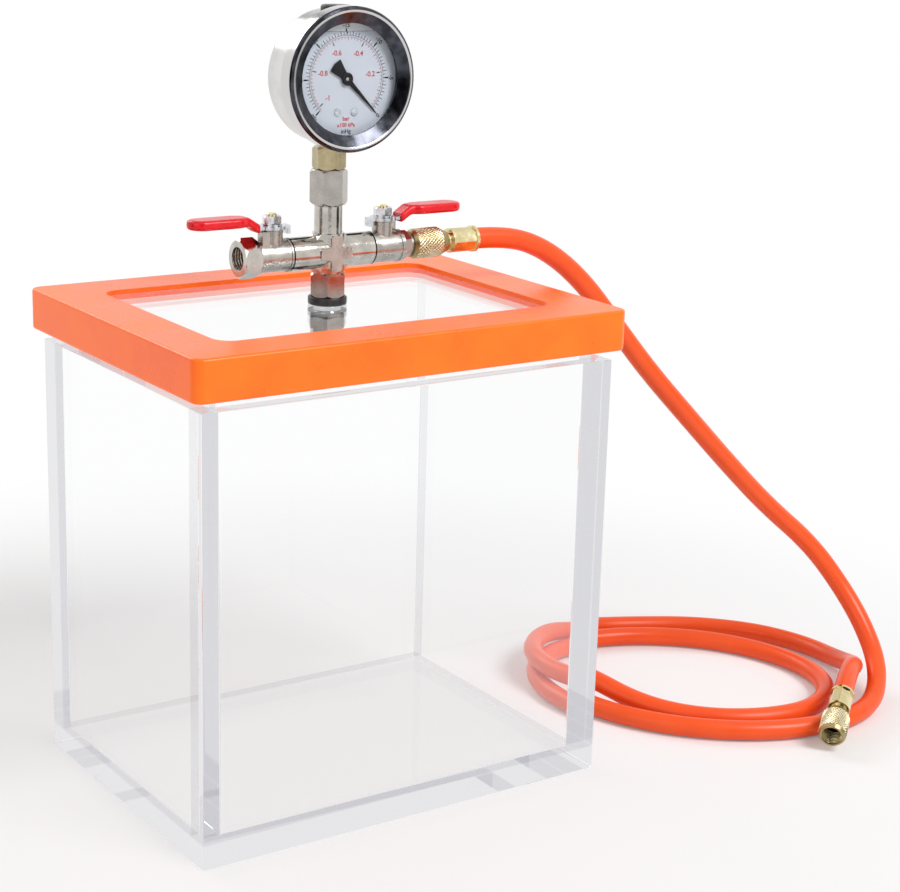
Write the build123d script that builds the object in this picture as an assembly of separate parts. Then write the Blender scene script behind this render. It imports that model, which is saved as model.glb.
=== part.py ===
from build123d import *
import os
from math import acos, cos, pi, radians, sin, sqrt, tan

# Clear-walled vacuum chamber with a silicone-edged lid, a valve manifold, a vacuum gauge
# and a charging hose. Millimetres, +Z up. The front wall faces -Y, and the origin is the
# middle of the underside of the base plate.

# ---- driving dimensions: box ----
BOX_X = 220.0  # outside width
BOX_Y = 164.0  # outside depth
BOX_Z = 212.0  # height of the wall tops
WALL = 12.0  # plate thickness of base and walls
EDGE = 0.6  # polished chamfer on open plate edges
RIM_INSET = 7.0  # rim frame, set in from the outer faces
RIM_Z = 5.0  # rim frame height

# ---- driving dimensions: lid ----
LID_X = 223.4
LID_Y = 166.8
LID_Z = 15.0
LID_CORNER = 1.8
FLANGE_Z = 2.4  # silicone above and below the lid plate
SKIRT = 3.6  # silicone outside the lid plate
FLANGE_REACH = 25.5  # from the gasket's outer face to its window
WINDOW_CORNER = 9.0
LID_BOTTOM = BOX_Z + RIM_Z + FLANGE_Z
LID_TOP = LID_BOTTOM + LID_Z
GASKET_TOP = LID_TOP + FLANGE_Z

# ---- driving dimensions: manifold ----
AXIS_Z = 259.6  # height of the valves' axis
STUD_R = 6.5  # threaded stud through the lid
PIPE_R = 5.0  # eighth-inch taper pipe thread, taken as a cylinder
GAUGE_PIPE_R = 6.2  # the gauge's quarter-inch thread
STUB = 5.5  # depth of the lid adapter's thread in the cross
FLOW_R = 3.0  # flow bore
WASHER_R = 9.35
WASHER_Z = 3.8
ARM_X = 22.0  # cross centre to the end of a side arm
ARM_R = 8.0
TOP_ARM_R = 6.7
HEX_TOP = 249.8  # top of the lid adapter's hexagon
TOP_ARM_Z = 281.6
COUPLING_BOTTOM = 282.4
COUPLING_TOP = 298.8
WRENCH = 16.0  # across flats of adapter and coupling

# ---- driving dimensions: valves, measured from the valve's stem or axis ----
STEM_X = 30.5
BODY_END = 39.6
BODY_R = 7.5
BALL_R = 4.6
CAVITY_R = 6.2
NECK_R = 5.2
NECK_TOP = AXIS_Z + 12.6
VALVE_STEM_R = 2.4
LEVER_T = 1.5
LEVER_BOTTOM = AXIS_Z + 13.0
LEVER_RISE = 3.6
LEVER_LENGTH = 42.0
GRIP_WRAP = 1.6  # vinyl around the lever's steel
PORT_R = 5.6  # quarter-inch female pipe thread, wall radius
PORT_DEPTH = 8.5
PORT_END = 48.5

# ---- driving dimensions: hose and its fittings, measured from the hose end ----
HOSE_R = 5.25
HOSE_BORE_R = 3.2
FERRULE_L = 15.0
FERRULE_R = 6.0
NUT_START = 17.5
NUT_END = 38.0
NUT_R = 7.1
FLARE_R = 5.3  # seven-sixteenths fine thread, female wall radius
HOSE_X = 84.0  # where the hose leaves the near ferrule

# ---- driving dimensions: gauge ----
GAUGE_Z = 342.0
CASE_R = 31.0
CASE_WALL = 0.8
CASE_BACK = 6.5
BEZEL_R = 33.2
BEZEL_FRONT = -21.5
BEZEL_BACK = -12.4
SIGHT_R = 25.5  # clear opening of the bezel
WINDOW_FACE = -17.3
WINDOW_T = 2.0
LIP_FRONT = -13.9
DIAL_FACE = -13.2
DIAL_T = 0.6
PLATE_T = 0.8  # movement plates
FRONT_PLATE = -10.4
BACK_PLATE = -5.8
ARBOR_R = 0.75
RUNNING = 0.05  # radial clearance of arbors and swivels
MODULE = 0.5
PINION_TEETH = 10
SECTOR_TEETH = 60
SECTOR_ANGLE = 225.0  # where the sector's arbor lies, seen from the front
SWEEP = 45.0  # sector travel for the pointer's 270 degrees
BOURDON_R = 22.5
PLUG_Y = -4.8

UP = (0, 0, 1)
DOWN = (0, 0, -1)
OUT_X = (1, 0, 0)
BACKWARD = (0, 1, 0)
ON_BASE = (Align.CENTER, Align.CENTER, Align.MIN)

# Route of the hose's centre line: out of the near ferrule, down to the floor beside the box,
# and two loose turns there, the second lying over the first.
HOSE_ROUTE = [
    (84, 0, 259.6), (105, 0, 259.6), (127.5, -3, 251.3), (147, -9, 234.5), (164, -16, 211),
    (184, -22, 185), (209, -27, 158), (236, -30.5, 130), (264, -33, 103), (295, -38, 77),
    (309, -50, 54), (313, -67, 34), (307.2, -86, 16.9), (288.6, -102.9, 6), (260.1, -112.1, 5.4),
    (230, -109.5, 5.4), (201, -97, 5.4), (176, -76, 5.4), (158, -49, 5.4), (149, -18, 5.4),
    (151, 14, 5.4), (166, 41, 5.4), (194, 55, 5.4), (225, 50, 5.4), (253, 35, 5.4),
    (276, 12, 5.4), (290, -17, 5.4), (293.1, -49, 5.4), (279.7, -77.9, 5.4), (251, -93.1, 5.4),
    (218, -88, 5.4), (190, -69, 5.4), (173, -42, 7), (159.8, -14.2, 15.9), (153, 12.9, 16.4),
    (162.8, 41.6, 16.3), (189.6, 60.7, 15), (221, 65, 7.5), (253, 56, 5.4), (282, 39, 5.4),
    (306, 13, 5.4), (317, -17, 5.4), (315, -48, 6.5), (301.2, -74.8, 14.9), (277.7, -92.8, 24.9),
    (257, -109, 18.6),
]
FAR_END = HOSE_ROUTE[-1]
FAR_WAY = tuple(Vector(*FAR_END) - Vector(*HOSE_ROUTE[-2]))


# ---- helpers ----
def block(low, high):
    """Box between two opposite corners."""
    size = [top - bottom for bottom, top in zip(low, high)]
    return Pos(*low) * Box(*size, align=(Align.MIN,) * 3)


def rod(radius, start, way, length):
    """Cylinder that starts at a point and runs along a direction."""
    return Plane(origin=start, z_dir=way) * Cylinder(radius, length, align=ON_BASE)


def ring(outer, inner, start, way, length):
    return rod(outer, start, way, length) - rod(inner, start, way, length)


def on_axis(x):
    """Point on the valves' axis."""
    return (x, 0, AXIS_Z)


def hexagon(flats, start, way, length, turn=0.0):
    """Hexagonal bar with the corners of both ends turned off."""
    corner = flats / sqrt(3)
    blank = Cylinder(corner, length, align=ON_BASE)
    blank = chamfer(blank.edges().filter_by(GeomType.CIRCLE), corner - flats / 2)
    bar = extrude(RegularPolygon(flats / 2, 6, major_radius=False, rotation=turn), length)
    return Plane(origin=start, z_dir=way) * (blank & bar)


def rounded_plate(size_x, size_y, corner, bottom, height):
    outline = RectangleRounded(size_x, size_y, corner)
    return Pos(0, 0, bottom) * extrude(outline, height)


def dial_plane(y):
    """Plane facing the viewer at a depth in the gauge, centred on the pointer's axis."""
    return Plane(origin=(0, y, GAUGE_Z), x_dir=(1, 0, 0), z_dir=(0, -1, 0))


def turned(points):
    """Solid turned about the gauge's axis from an outline of (radius, y) points."""
    outline = make_face(Polyline(*points, close=True))
    return Pos(0, 0, GAUGE_Z) * revolve(outline, Axis.Y)


# ---- box ----
def box_plates():
    half_x, half_y = BOX_X / 2, BOX_Y / 2
    base = block((-half_x, -half_y, 0), (half_x, half_y, WALL))
    base = chamfer(base.edges().filter_by(Axis.Z), EDGE)
    front = block((-half_x, -half_y, WALL), (half_x, WALL - half_y, BOX_Z))
    front = chamfer(front.edges().filter_by(Axis.Z).group_by(Axis.Y)[0], EDGE)
    back = mirror(front, about=Plane.XZ)
    left = block((-half_x, WALL - half_y, WALL), (WALL - half_x, half_y - WALL, BOX_Z))
    right = mirror(left, about=Plane.YZ)
    return base, front, back, left, right


def rim_frame():
    inset = 2 * RIM_INSET
    frame = rounded_plate(BOX_X - inset, BOX_Y - inset, 2.0, BOX_Z, RIM_Z)
    return frame - rounded_plate(BOX_X - 2 * WALL, BOX_Y - 2 * WALL, 1.0, BOX_Z, RIM_Z)


# ---- lid ----
def lid_plate():
    plate = rounded_plate(LID_X, LID_Y, LID_CORNER, LID_BOTTOM, LID_Z)
    return plate - rod(STUD_R, (0, 0, LID_BOTTOM), UP, LID_Z)


def lid_gasket():
    """Moulded silicone channel that wraps the lid plate's edge all round."""
    size_x, size_y = LID_X + 2 * SKIRT, LID_Y + 2 * SKIRT
    height = LID_Z + 2 * FLANGE_Z
    bottom = LID_BOTTOM - FLANGE_Z
    channel = rounded_plate(size_x, size_y, LID_CORNER + SKIRT, bottom, height)
    channel = fillet(channel.faces().filter_by(Axis.Z).edges(), 1.4)
    reach = 2 * FLANGE_REACH
    window = rounded_plate(size_x - reach, size_y - reach, WINDOW_CORNER, bottom, height)
    channel -= window
    return channel - rounded_plate(LID_X, LID_Y, LID_CORNER, LID_BOTTOM, LID_Z)


# ---- lid fitting ----
def lid_adapter():
    washer_top = LID_TOP + WASHER_Z
    shape = rod(STUD_R, (0, 0, LID_BOTTOM - 12), UP, LID_Z + 12 + WASHER_Z)
    shape += hexagon(WRENCH, (0, 0, washer_top), UP, HEX_TOP - washer_top)
    shape += rod(PIPE_R, (0, 0, HEX_TOP), UP, STUB)
    return shape - rod(FLOW_R, (0, 0, LID_BOTTOM - 12), UP, 60)


def seal_washers():
    upper = ring(WASHER_R, STUD_R, (0, 0, LID_TOP), UP, WASHER_Z)
    upper = fillet(upper.edges().filter_by(GeomType.CIRCLE).sort_by(SortBy.RADIUS)[-2:], 0.7)
    return upper, ring(WASHER_R, STUD_R, (0, 0, LID_BOTTOM), DOWN, 2.5)


def lid_nut():
    nut = hexagon(17.0, (0, 0, LID_BOTTOM - 8.5), UP, 6.0)
    return nut - rod(STUD_R, (0, 0, LID_BOTTOM - 8.5), UP, 6.0)


def cross_fitting():
    """Four-way female cross: cast body with a raised rib cross on both faces."""
    body = rod(ARM_R, on_axis(-ARM_X), OUT_X, 2 * ARM_X)
    body += rod(TOP_ARM_R, (0, 0, HEX_TOP), UP, TOP_ARM_Z - HEX_TOP)
    body += rod(ARM_R - 0.2, (0, 0, HEX_TOP), UP, 2.8)
    heart = Box(18.4, 9.0, 18.4)
    heart = chamfer(heart.edges().filter_by(Axis.Y), 3.0)
    heart += Cylinder(ARM_R - 0.3, 18.4)
    ribs = Box(17.0, 17.4, 5.6) + Box(5.6, 17.4, 17.0)
    body += Pos(*on_axis(0)) * (heart + fillet(ribs.edges().filter_by(Axis.Y), 1.4))
    body -= rod(FLOW_R, on_axis(-ARM_X), OUT_X, 2 * ARM_X)
    body -= rod(FLOW_R, (0, 0, HEX_TOP), UP, TOP_ARM_Z - HEX_TOP)
    for side in (-1, 1):
        body -= rod(PIPE_R, on_axis(side * ARM_X), (-side, 0, 0), 9.5)
    body -= rod(PIPE_R, (0, 0, HEX_TOP), UP, STUB)
    return body - rod(PIPE_R, (0, 0, TOP_ARM_Z), DOWN, 9.0)


def gauge_coupling():
    """Adapter: male below into the cross, female above for the gauge."""
    shape = hexagon(WRENCH, (0, 0, COUPLING_BOTTOM), UP, COUPLING_TOP - COUPLING_BOTTOM, 44.0)
    shape += rod(PIPE_R, (0, 0, TOP_ARM_Z - 9.0), UP, COUPLING_BOTTOM - TOP_ARM_Z + 9.0)
    shape -= rod(FLOW_R, (0, 0, TOP_ARM_Z - 9.0), UP, 30)
    return shape - rod(GAUGE_PIPE_R, (0, 0, COUPLING_TOP), DOWN, 11.0)


# ---- ball valves, drawn on the +X side ----
def valve_body():
    body = rod(BODY_R, on_axis(ARM_X), OUT_X, BODY_END - ARM_X)
    body += rod(BODY_R + 0.5, on_axis(ARM_X), OUT_X, 1.6)
    body += rod(BODY_R + 0.4, on_axis(BODY_END - 1.8), OUT_X, 1.8)
    body += rod(NECK_R, on_axis(STEM_X), UP, NECK_TOP - AXIS_Z)
    body += block((STEM_X + 3.6, 0.2, AXIS_Z + 4), (STEM_X + 7.6, 5.0, NECK_TOP - 0.2))
    body += rod(PIPE_R, on_axis(ARM_X - 9.5), OUT_X, 9.5)
    body -= rod(FLOW_R, on_axis(ARM_X - 9.5), OUT_X, 30)
    body -= rod(CAVITY_R, on_axis(24.6), OUT_X, BODY_END - 24.6)
    return body - rod(3.6, on_axis(STEM_X), UP, NECK_TOP - AXIS_Z)


def valve_ball():
    ball = Pos(*on_axis(STEM_X)) * Sphere(BALL_R)
    ball -= rod(FLOW_R, on_axis(STEM_X - BALL_R), OUT_X, 2 * BALL_R)
    slot = (STEM_X - BALL_R, -0.8, AXIS_Z + 3.4), (STEM_X + BALL_R, 0.8, AXIS_Z + BALL_R)
    return ball - block(*slot)


def valve_seats():
    """Two soft rings that hold the ball between them."""
    profile = [(-5.9, FLOW_R), (-5.9, CAVITY_R), (-3.0, CAVITY_R), (-3.0, 3.58), (-3.58, FLOW_R)]
    seat = revolve(make_face(Polyline(*profile, close=True)), Axis.X)
    place = Pos(*on_axis(STEM_X))
    return Compound(children=[place * seat, place * Rot(0, 0, 180) * seat])


def valve_stem():
    """Spindle with a tang in the ball's slot, a shoulder inside and a thread for the nut."""
    stem = rod(VALVE_STEM_R, (STEM_X, 0, AXIS_Z + 5.0), UP, 15.3)
    stem = chamfer(stem.edges().filter_by(GeomType.CIRCLE).sort_by(Axis.Z)[-1], 0.4)
    stem += rod(2.9, (STEM_X, 0, AXIS_Z + 4.7), UP, 1.2)
    tang = (STEM_X - 2.2, -0.75, AXIS_Z + 3.5), (STEM_X + 2.2, 0.75, AXIS_Z + 4.8)
    return stem + block(*tang)


def stem_seal():
    start = (STEM_X, 0, AXIS_Z + 6.2)
    return ring(3.6, VALVE_STEM_R + RUNNING, start, UP, NECK_TOP - AXIS_Z - 6.2)


def lever_side(wrap):
    """Side view of the bent lever, or of the vinyl that wraps its outer part."""
    low, high = LEVER_BOTTOM - wrap, LEVER_BOTTOM + LEVER_T + wrap
    start = STEM_X + (8.0 if wrap else -8.6)
    bend, level = STEM_X + 8.5, STEM_X + 14.0
    tip = STEM_X + LEVER_LENGTH + wrap
    points = [
        (start, low), (bend, low), (level, low + LEVER_RISE), (tip, low + LEVER_RISE),
        (tip, high + LEVER_RISE), (level, high + LEVER_RISE), (bend, high), (start, high),
    ]
    return extrude(Plane.XZ * make_face(Polyline(*points, close=True)), 12, both=True)


def lever_outline(wrap):
    """Top view of the lever: hub, narrow neck and wide paddle."""
    middle = STEM_X + (LEVER_LENGTH + 15.0) / 2
    paddle = SlotOverall(LEVER_LENGTH - 15.0 + 2 * wrap, 10.0 + 2 * wrap)
    outline = Pos(middle, 0) * paddle
    outline += Pos(STEM_X + 9.0, 0) * Rectangle(20.0, 6.4 + 2 * wrap)
    if not wrap:
        outline += Pos(STEM_X, 0) * Circle(6.4)
        outline += Pos(STEM_X - 4.6, 0) * Rectangle(8.0, 5.0)
    corners = outline.vertices().filter_by(lambda v: abs(v.X - STEM_X - 15.8) < 0.6)
    outline = fillet(corners, 2.0)
    return Pos(0, 0, LEVER_BOTTOM - 5) * extrude(outline, 15)


def valve_lever():
    lever = lever_side(0) & lever_outline(0)
    tab = (STEM_X - 8.6, -2.5, NECK_TOP - 2.2), (STEM_X - 7.1, 2.5, LEVER_BOTTOM + LEVER_T)
    lever += block(*tab)
    return lever - rod(VALVE_STEM_R, (STEM_X, 0, LEVER_BOTTOM), UP, LEVER_T)


def lever_grip():
    grip = lever_side(GRIP_WRAP) & lever_outline(GRIP_WRAP)
    rim = grip.edges().filter_by(lambda edge: edge.center().X > STEM_X + 8.2)
    grip = fillet(rim.filter_by(lambda edge: abs(edge.tangent_at(0.5).Z) < 0.9), 1.2)
    return grip - (lever_side(0) & lever_outline(0))


def lever_nut():
    top = LEVER_BOTTOM + LEVER_T
    nut = rod(4.8, (STEM_X, 0, top), UP, 0.9)
    nut += hexagon(8.0, (STEM_X, 0, top + 0.9), UP, 3.8, 12.0)
    return nut - rod(VALVE_STEM_R, (STEM_X, 0, top), UP, 4.7)


def port_end():
    """Screwed end with a hexagon and a female pipe thread."""
    end = rod(CAVITY_R, on_axis(36.4), OUT_X, BODY_END - 36.4)
    end += hexagon(17.0, on_axis(BODY_END), OUT_X, PORT_END - BODY_END)
    end -= rod(FLOW_R, on_axis(36.4), OUT_X, 8.0)
    return end - rod(PORT_R, on_axis(PORT_END - PORT_DEPTH), OUT_X, PORT_DEPTH)


def flare_end():
    """Screwed end with a small hexagon and a male flare thread for the hose nut."""
    seat_x = HOSE_X - 26.0
    end = rod(CAVITY_R, on_axis(36.4), OUT_X, BODY_END - 36.4)
    end += hexagon(12.4, on_axis(BODY_END), OUT_X, 4.5)
    end += rod(FLARE_R - RUNNING, on_axis(BODY_END + 4.5), OUT_X, seat_x - 2.4 - BODY_END - 4.5)
    nose = Plane(origin=on_axis(seat_x - 2.4), z_dir=OUT_X)
    end += nose * Cone(FLARE_R - RUNNING, FLARE_R - 2.4, 2.4, align=ON_BASE)
    return end - rod(2.4, on_axis(36.4), OUT_X, 30)


# ---- hose fittings, drawn along +Z from the hose's end ----
def hose_ferrule():
    """Crimped sleeve with eight flats and a flange on the hose side."""
    crimp = extrude(RegularPolygon(FERRULE_R - 0.35, 8, major_radius=False), FERRULE_L)
    sleeve = Cylinder(FERRULE_R, FERRULE_L, align=ON_BASE) & crimp
    sleeve += Cylinder(FERRULE_R + 0.5, 1.4, align=ON_BASE)
    sleeve += Pos(0, 0, FERRULE_L - 1.2) * Cylinder(FERRULE_R, 1.2, align=ON_BASE)
    return sleeve - Cylinder(HOSE_BORE_R, FERRULE_L, align=ON_BASE)


def hose_insert():
    """Barbed tail, neck for the nut and the head that seals on the flare."""
    profile = [
        (1.6, 0), (HOSE_BORE_R, 0), (HOSE_BORE_R, FERRULE_L), (4.4, FERRULE_L),
        (4.4, 21.4), (4.9, 21.9), (4.9, 24.5), (1.6, 24.5),
    ]
    return revolve(Plane.XZ * make_face(Polyline(*profile, close=True)), Axis.Z)


def hose_gasket():
    return Pos(0, 0, 24.5) * (Cylinder(4.7, 1.5, align=ON_BASE) - Cylinder(1.8, 1.5, align=ON_BASE))


def hose_nut():
    """Swivelling nut: knurled barrel, tapered shoulder and female flare thread."""
    hole = 4.4 + RUNNING
    profile = [
        (hole, NUT_START), (5.3, NUT_START), (5.5, NUT_START + 0.8), (NUT_R - 0.5, 20.9),
        (NUT_R, 21.6), (NUT_R, NUT_END - 1.6), (NUT_R - 0.6, NUT_END - 0.5),
        (NUT_R - 0.9, NUT_END), (FLARE_R, NUT_END), (FLARE_R, 26.0), (FLARE_R + 0.6, 25.4),
        (FLARE_R + 0.6, 22.6), (hole, 21.2),
    ]
    return revolve(Plane.XZ * make_face(Polyline(*profile, close=True)), Axis.Z)


def hose_tube():
    """Plain tube along the route: straight runs joined by arcs as large as they allow."""
    points = [Vector(*point) for point in HOSE_ROUTE]
    radii = []
    for before, here, after in zip(points, points[1:], points[2:]):
        run_in, run_out = here - before, after - here
        half_turn = radians(run_in.get_angle(run_out)) / 2
        radii.append(0.45 * min(run_in.length, run_out.length) / tan(half_turn))
    path = FilletPolyline(*points, radius=radii)
    start = Plane(origin=points[0], z_dir=points[1] - points[0])
    tube = sweep(start * Circle(HOSE_R), path=path)
    print("hose length", round(path.length, 1), "tightest radius", round(min(radii), 1))
    print("hose volume over section times length", round(tube.volume / (pi * HOSE_R**2 * path.length), 5))
    return tube


# ---- gauge ----
def gauge_stem():
    """Brass stem: pipe thread, wrench hexagon and the socket block inside the case."""
    stem = rod(GAUGE_PIPE_R, (0, 0, COUPLING_TOP - 11.0), UP, 11.0)
    stem += hexagon(14.0, (0, 0, COUPLING_TOP), UP, 10.6, 20.6)
    stem += rod(5.0, (0, 0, COUPLING_TOP + 10.0), UP, 6.0)
    stem += block((-6, -5, 314.6), (8.5, 5, 323.0))
    return stem - rod(1.5, (0, 0, COUPLING_TOP - 11.0), UP, 30)


def gauge_case():
    """Pressed steel cup with a turned-out lip, a stem hole and a filling hole."""
    front = LIP_FRONT
    cup = rod(CASE_R, (0, front, GAUGE_Z), BACKWARD, CASE_BACK - front)
    cup = fillet(cup.edges().filter_by(GeomType.CIRCLE).sort_by(Axis.Y)[-1], 4.0)
    inside = CASE_R - CASE_WALL
    hollow = rod(inside, (0, front, GAUGE_Z), BACKWARD, CASE_BACK - CASE_WALL - front)
    hollow = fillet(hollow.edges().filter_by(GeomType.CIRCLE).sort_by(Axis.Y)[-1], 3.2)
    cup += rod(32.2, (0, front, GAUGE_Z), BACKWARD, 0.5)
    cup -= hollow
    cup -= rod(5.0, (0, 0, GAUGE_Z - CASE_R - 1), UP, 4)
    return cup - rod(4.0, (0, PLUG_Y, GAUGE_Z + CASE_R - 3), UP, 6)


def gauge_bezel():
    return turned([
        (SIGHT_R, -18.2), (30.9, BEZEL_FRONT + 0.1), (31.9, BEZEL_FRONT), (32.8, -20.9),
        (BEZEL_R, -20.0), (BEZEL_R, BEZEL_BACK), (CASE_R + 0.05, BEZEL_BACK),
        (CASE_R + 0.05, LIP_FRONT + 0.5), (32.3, LIP_FRONT + 0.5), (32.3, WINDOW_FACE),
        (SIGHT_R, WINDOW_FACE),
    ])


def gauge_window():
    return rod(32.0, (0, WINDOW_FACE, GAUGE_Z), BACKWARD, WINDOW_T)


def window_gasket():
    start = (0, WINDOW_FACE + WINDOW_T, GAUGE_Z)
    return ring(32.0, 26.8, start, BACKWARD, LIP_FRONT - WINDOW_FACE - WINDOW_T)


def gauge_dial():
    """White disc with a hole for the pinion and two for its screws."""
    holes = Circle(2.0)
    for x in (-4.5, 4.5):
        holes += Pos(x, -15.0) * Circle(0.9)
    return dial_plane(DIAL_FACE + DIAL_T) * extrude(Circle(29.9) - holes, DIAL_T)


def dial_screws():
    screws = []
    for x in (-4.5, 4.5):
        start = (x, DIAL_FACE - 0.6, GAUGE_Z - 15.0)
        screw = rod(1.9, start, BACKWARD, 0.6) + rod(0.9, start, BACKWARD, 3.6)
        slot = (x - 2.0, DIAL_FACE - 0.6, start[2] - 0.25), (x + 2.0, DIAL_FACE - 0.3, start[2] + 0.25)
        screws.append(screw - block(*slot))
    return Compound(children=screws)


def pointer():
    """Blade at its zero, at half past four, with a fan-shaped tail and a pressed hub."""
    blade = make_face(Polyline((0, -1.3), (20.8, -0.3), (21.2, 0), (20.8, 0.3), (0, 1.3), close=True))
    tail = make_face(Polyline((0, -1.3), (-9.0, -3.7), (-9.8, 0), (-9.0, 3.7), (0, 1.3), close=True))
    flat = blade + tail + Circle(2.6) - Circle(ARBOR_R)
    shape = dial_plane(DIAL_FACE - 0.7) * extrude(Rot(0, 0, -45) * flat, 0.4)
    shape += dial_plane(DIAL_FACE - 1.1) * extrude(Circle(3.0) - Circle(ARBOR_R), 0.4)
    return shape + dial_plane(DIAL_FACE - 0.2) * extrude(Circle(1.5) - Circle(ARBOR_R), 0.5)


def flank_angle(teeth, radius, backlash):
    """Half of a tooth's angle at a radius, on an involute of 20 degrees."""
    pressure = radians(20)
    pitch_r = MODULE * teeth / 2
    here = acos(min(1.0, pitch_r * cos(pressure) / radius))
    involute = tan(pressure) - pressure - (tan(here) - here)
    return pi / (2 * teeth) - backlash / pitch_r + involute


def gear_outline(teeth, first, last, addendum, dedendum, backlash):
    """Points round a stretch of teeth, from one tooth's number to another's."""
    pitch_r = MODULE * teeth / 2
    root = pitch_r - dedendum
    low = max(root, pitch_r * cos(radians(20)))
    tip = pitch_r + addendum
    points = []
    for number in range(first, last + 1):
        middle = 2 * pi * number / teeth
        rise = [(root, flank_angle(teeth, low, backlash))]
        rise += [(r, flank_angle(teeth, r, backlash)) for r in (low + 0.01, (low + tip) / 2, tip)]
        flanks = [(r, middle - angle) for r, angle in rise]
        flanks += [(r, middle + angle) for r, angle in reversed(rise)]
        points += [(r * cos(angle), r * sin(angle)) for r, angle in flanks]
    return points


def pinion():
    """Pointer arbor with its ten-leaf pinion, meshing at rest with the sector's first tooth."""
    outline = make_face(Polyline(*gear_outline(PINION_TEETH, 0, PINION_TEETH - 1, 0.4, 0.55, 0.05), close=True))
    turn = SECTOR_ANGLE + 180.0 / PINION_TEETH
    gear = dial_plane(-7.6) * extrude(Rot(0, 0, turn) * outline, 1.4)
    return gear + rod(ARBOR_R, (0, DIAL_FACE - 1.5, GAUGE_Z), BACKWARD, BACK_PLATE + 0.7 - DIAL_FACE + 1.5)


def sector_place():
    reach = MODULE * (PINION_TEETH + SECTOR_TEETH) / 2
    angle = radians(SECTOR_ANGLE)
    return reach * cos(angle), reach * sin(angle)


def tail_pin_place():
    """Tail pin of the sector, straight behind its arbor."""
    x, z = sector_place()
    return x + 5.5 * cos(radians(SECTOR_ANGLE)), z + 5.5 * sin(radians(SECTOR_ANGLE))


def sector_gear():
    """Toothed sector on its arbor, with a tail that the link drives."""
    x, z = sector_place()
    span = int(SWEEP / 360 * SECTOR_TEETH) + 2
    teeth = gear_outline(SECTOR_TEETH, -1, span, 0.35, 0.6, 0.05)
    fan = make_face(Polyline((-1.6, 1.6), (1.6, -1.6), *teeth, close=True))
    web = Pos(9.6 * cos(radians(SWEEP / 2)), 9.6 * sin(radians(SWEEP / 2))) * Circle(2.3)
    tail = Pos(-2.75, 0) * SlotOverall(9.0, 3.5)
    flat = Rot(0, 0, SECTOR_ANGLE - 180) * (fan - web + tail + Circle(2.2))
    gear = dial_plane(-7.8) * extrude(Pos(x, z) * flat, 1.0)
    gear += rod(ARBOR_R, (x, FRONT_PLATE + 0.1, GAUGE_Z + z), BACKWARD, BACK_PLATE + 0.7 - FRONT_PLATE - 0.1)
    tail_x, tail_z = tail_pin_place()
    return gear + rod(0.6, (tail_x, -7.8, GAUGE_Z + tail_z), BACKWARD, 1.5)


def tube_tip_place():
    angle = radians(200.0)
    return BOURDON_R * cos(angle), BOURDON_R * sin(angle)


def link():
    """Flat link from the sector's tail pin to the pin at the tube's tip."""
    tail_x, tail_z = tail_pin_place()
    tip_x, tip_z = tube_tip_place()
    way = Vector(tip_x - tail_x, tip_z - tail_z)
    turn = way.get_angle(Vector(1, 0))
    strip = Pos(way.length / 2, 0) * SlotOverall(way.length + 3.0, 3.0)
    strip -= Circle(0.6 + RUNNING) + Pos(way.length, 0) * Circle(0.6 + RUNNING)
    placed = Pos(tail_x, tail_z) * Rot(0, 0, turn) * strip
    return dial_plane(-6.6) * extrude(placed, 0.6)


def movement_frame():
    """Two plates and three pillars, riveted, with two posts that carry the dial."""
    corners = [(8, -17), (8, 7.5), (-4, 7.5), (-16, -8), (-16, -17), (-10, -23), (4, -23)]
    outline = make_face(Polyline(*corners, close=True))
    outline = fillet(outline.vertices(), 2.0)
    holes = Circle(ARBOR_R + RUNNING) + Pos(*sector_place()) * Circle(ARBOR_R + RUNNING)
    frame = dial_plane(FRONT_PLATE + PLATE_T) * extrude(outline - holes, PLATE_T)
    frame += dial_plane(BACK_PLATE + PLATE_T) * extrude(outline - holes, PLATE_T)
    for x, z in ((5.8, -13.5), (5.8, 5.0), (-7.5, -20.0)):
        frame += rod(1.2, (x, FRONT_PLATE, GAUGE_Z + z), BACKWARD, BACK_PLATE - FRONT_PLATE)
    for x in (-4.5, 4.5):
        start = (x, DIAL_FACE + DIAL_T, GAUGE_Z - 15.0)
        frame += rod(1.7, start, BACKWARD, FRONT_PLATE - DIAL_FACE - DIAL_T)
        frame -= rod(0.9, start, BACKWARD, 2.6)
    return frame


def bourdon_tube():
    """Flattened tube bent to a C, closed by a tip block with a pin."""
    section = Pos(BOURDON_R, 0.5) * Rot(0, 0, 90) * (SlotOverall(5.4, 2.4) - SlotOverall(4.8, 1.8))
    # From the tip on the left, over the top, down to the socket block.
    tube = Pos(0, 0, GAUGE_Z) * Rot(0, -200, 0) * revolve(section, Axis.Y, 270)
    tip_x, tip_z = tube_tip_place()
    tip = Rot(0, -20, 0) * Box(3.4, 5.6, 3.0)
    tube += Pos(tip_x, 0.5, GAUGE_Z + tip_z) * tip
    tube += rod(0.6, (tip_x, -6.3, GAUGE_Z + tip_z), BACKWARD, 6.0)
    return tube - gauge_stem()


def fill_plug():
    """Rubber plug in the case's filling hole."""
    head = rod(7.2, (0, PLUG_Y, GAUGE_Z + 28.0), UP, 4.8)
    head = fillet(head.edges().filter_by(GeomType.CIRCLE).sort_by(Axis.Z)[-1], 1.2)
    head -= rod(CASE_R, (0, -20, GAUGE_Z), BACKWARD, 40)
    return head + rod(4.0, (0, PLUG_Y, GAUGE_Z + 28.6), UP, 3.0)


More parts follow.
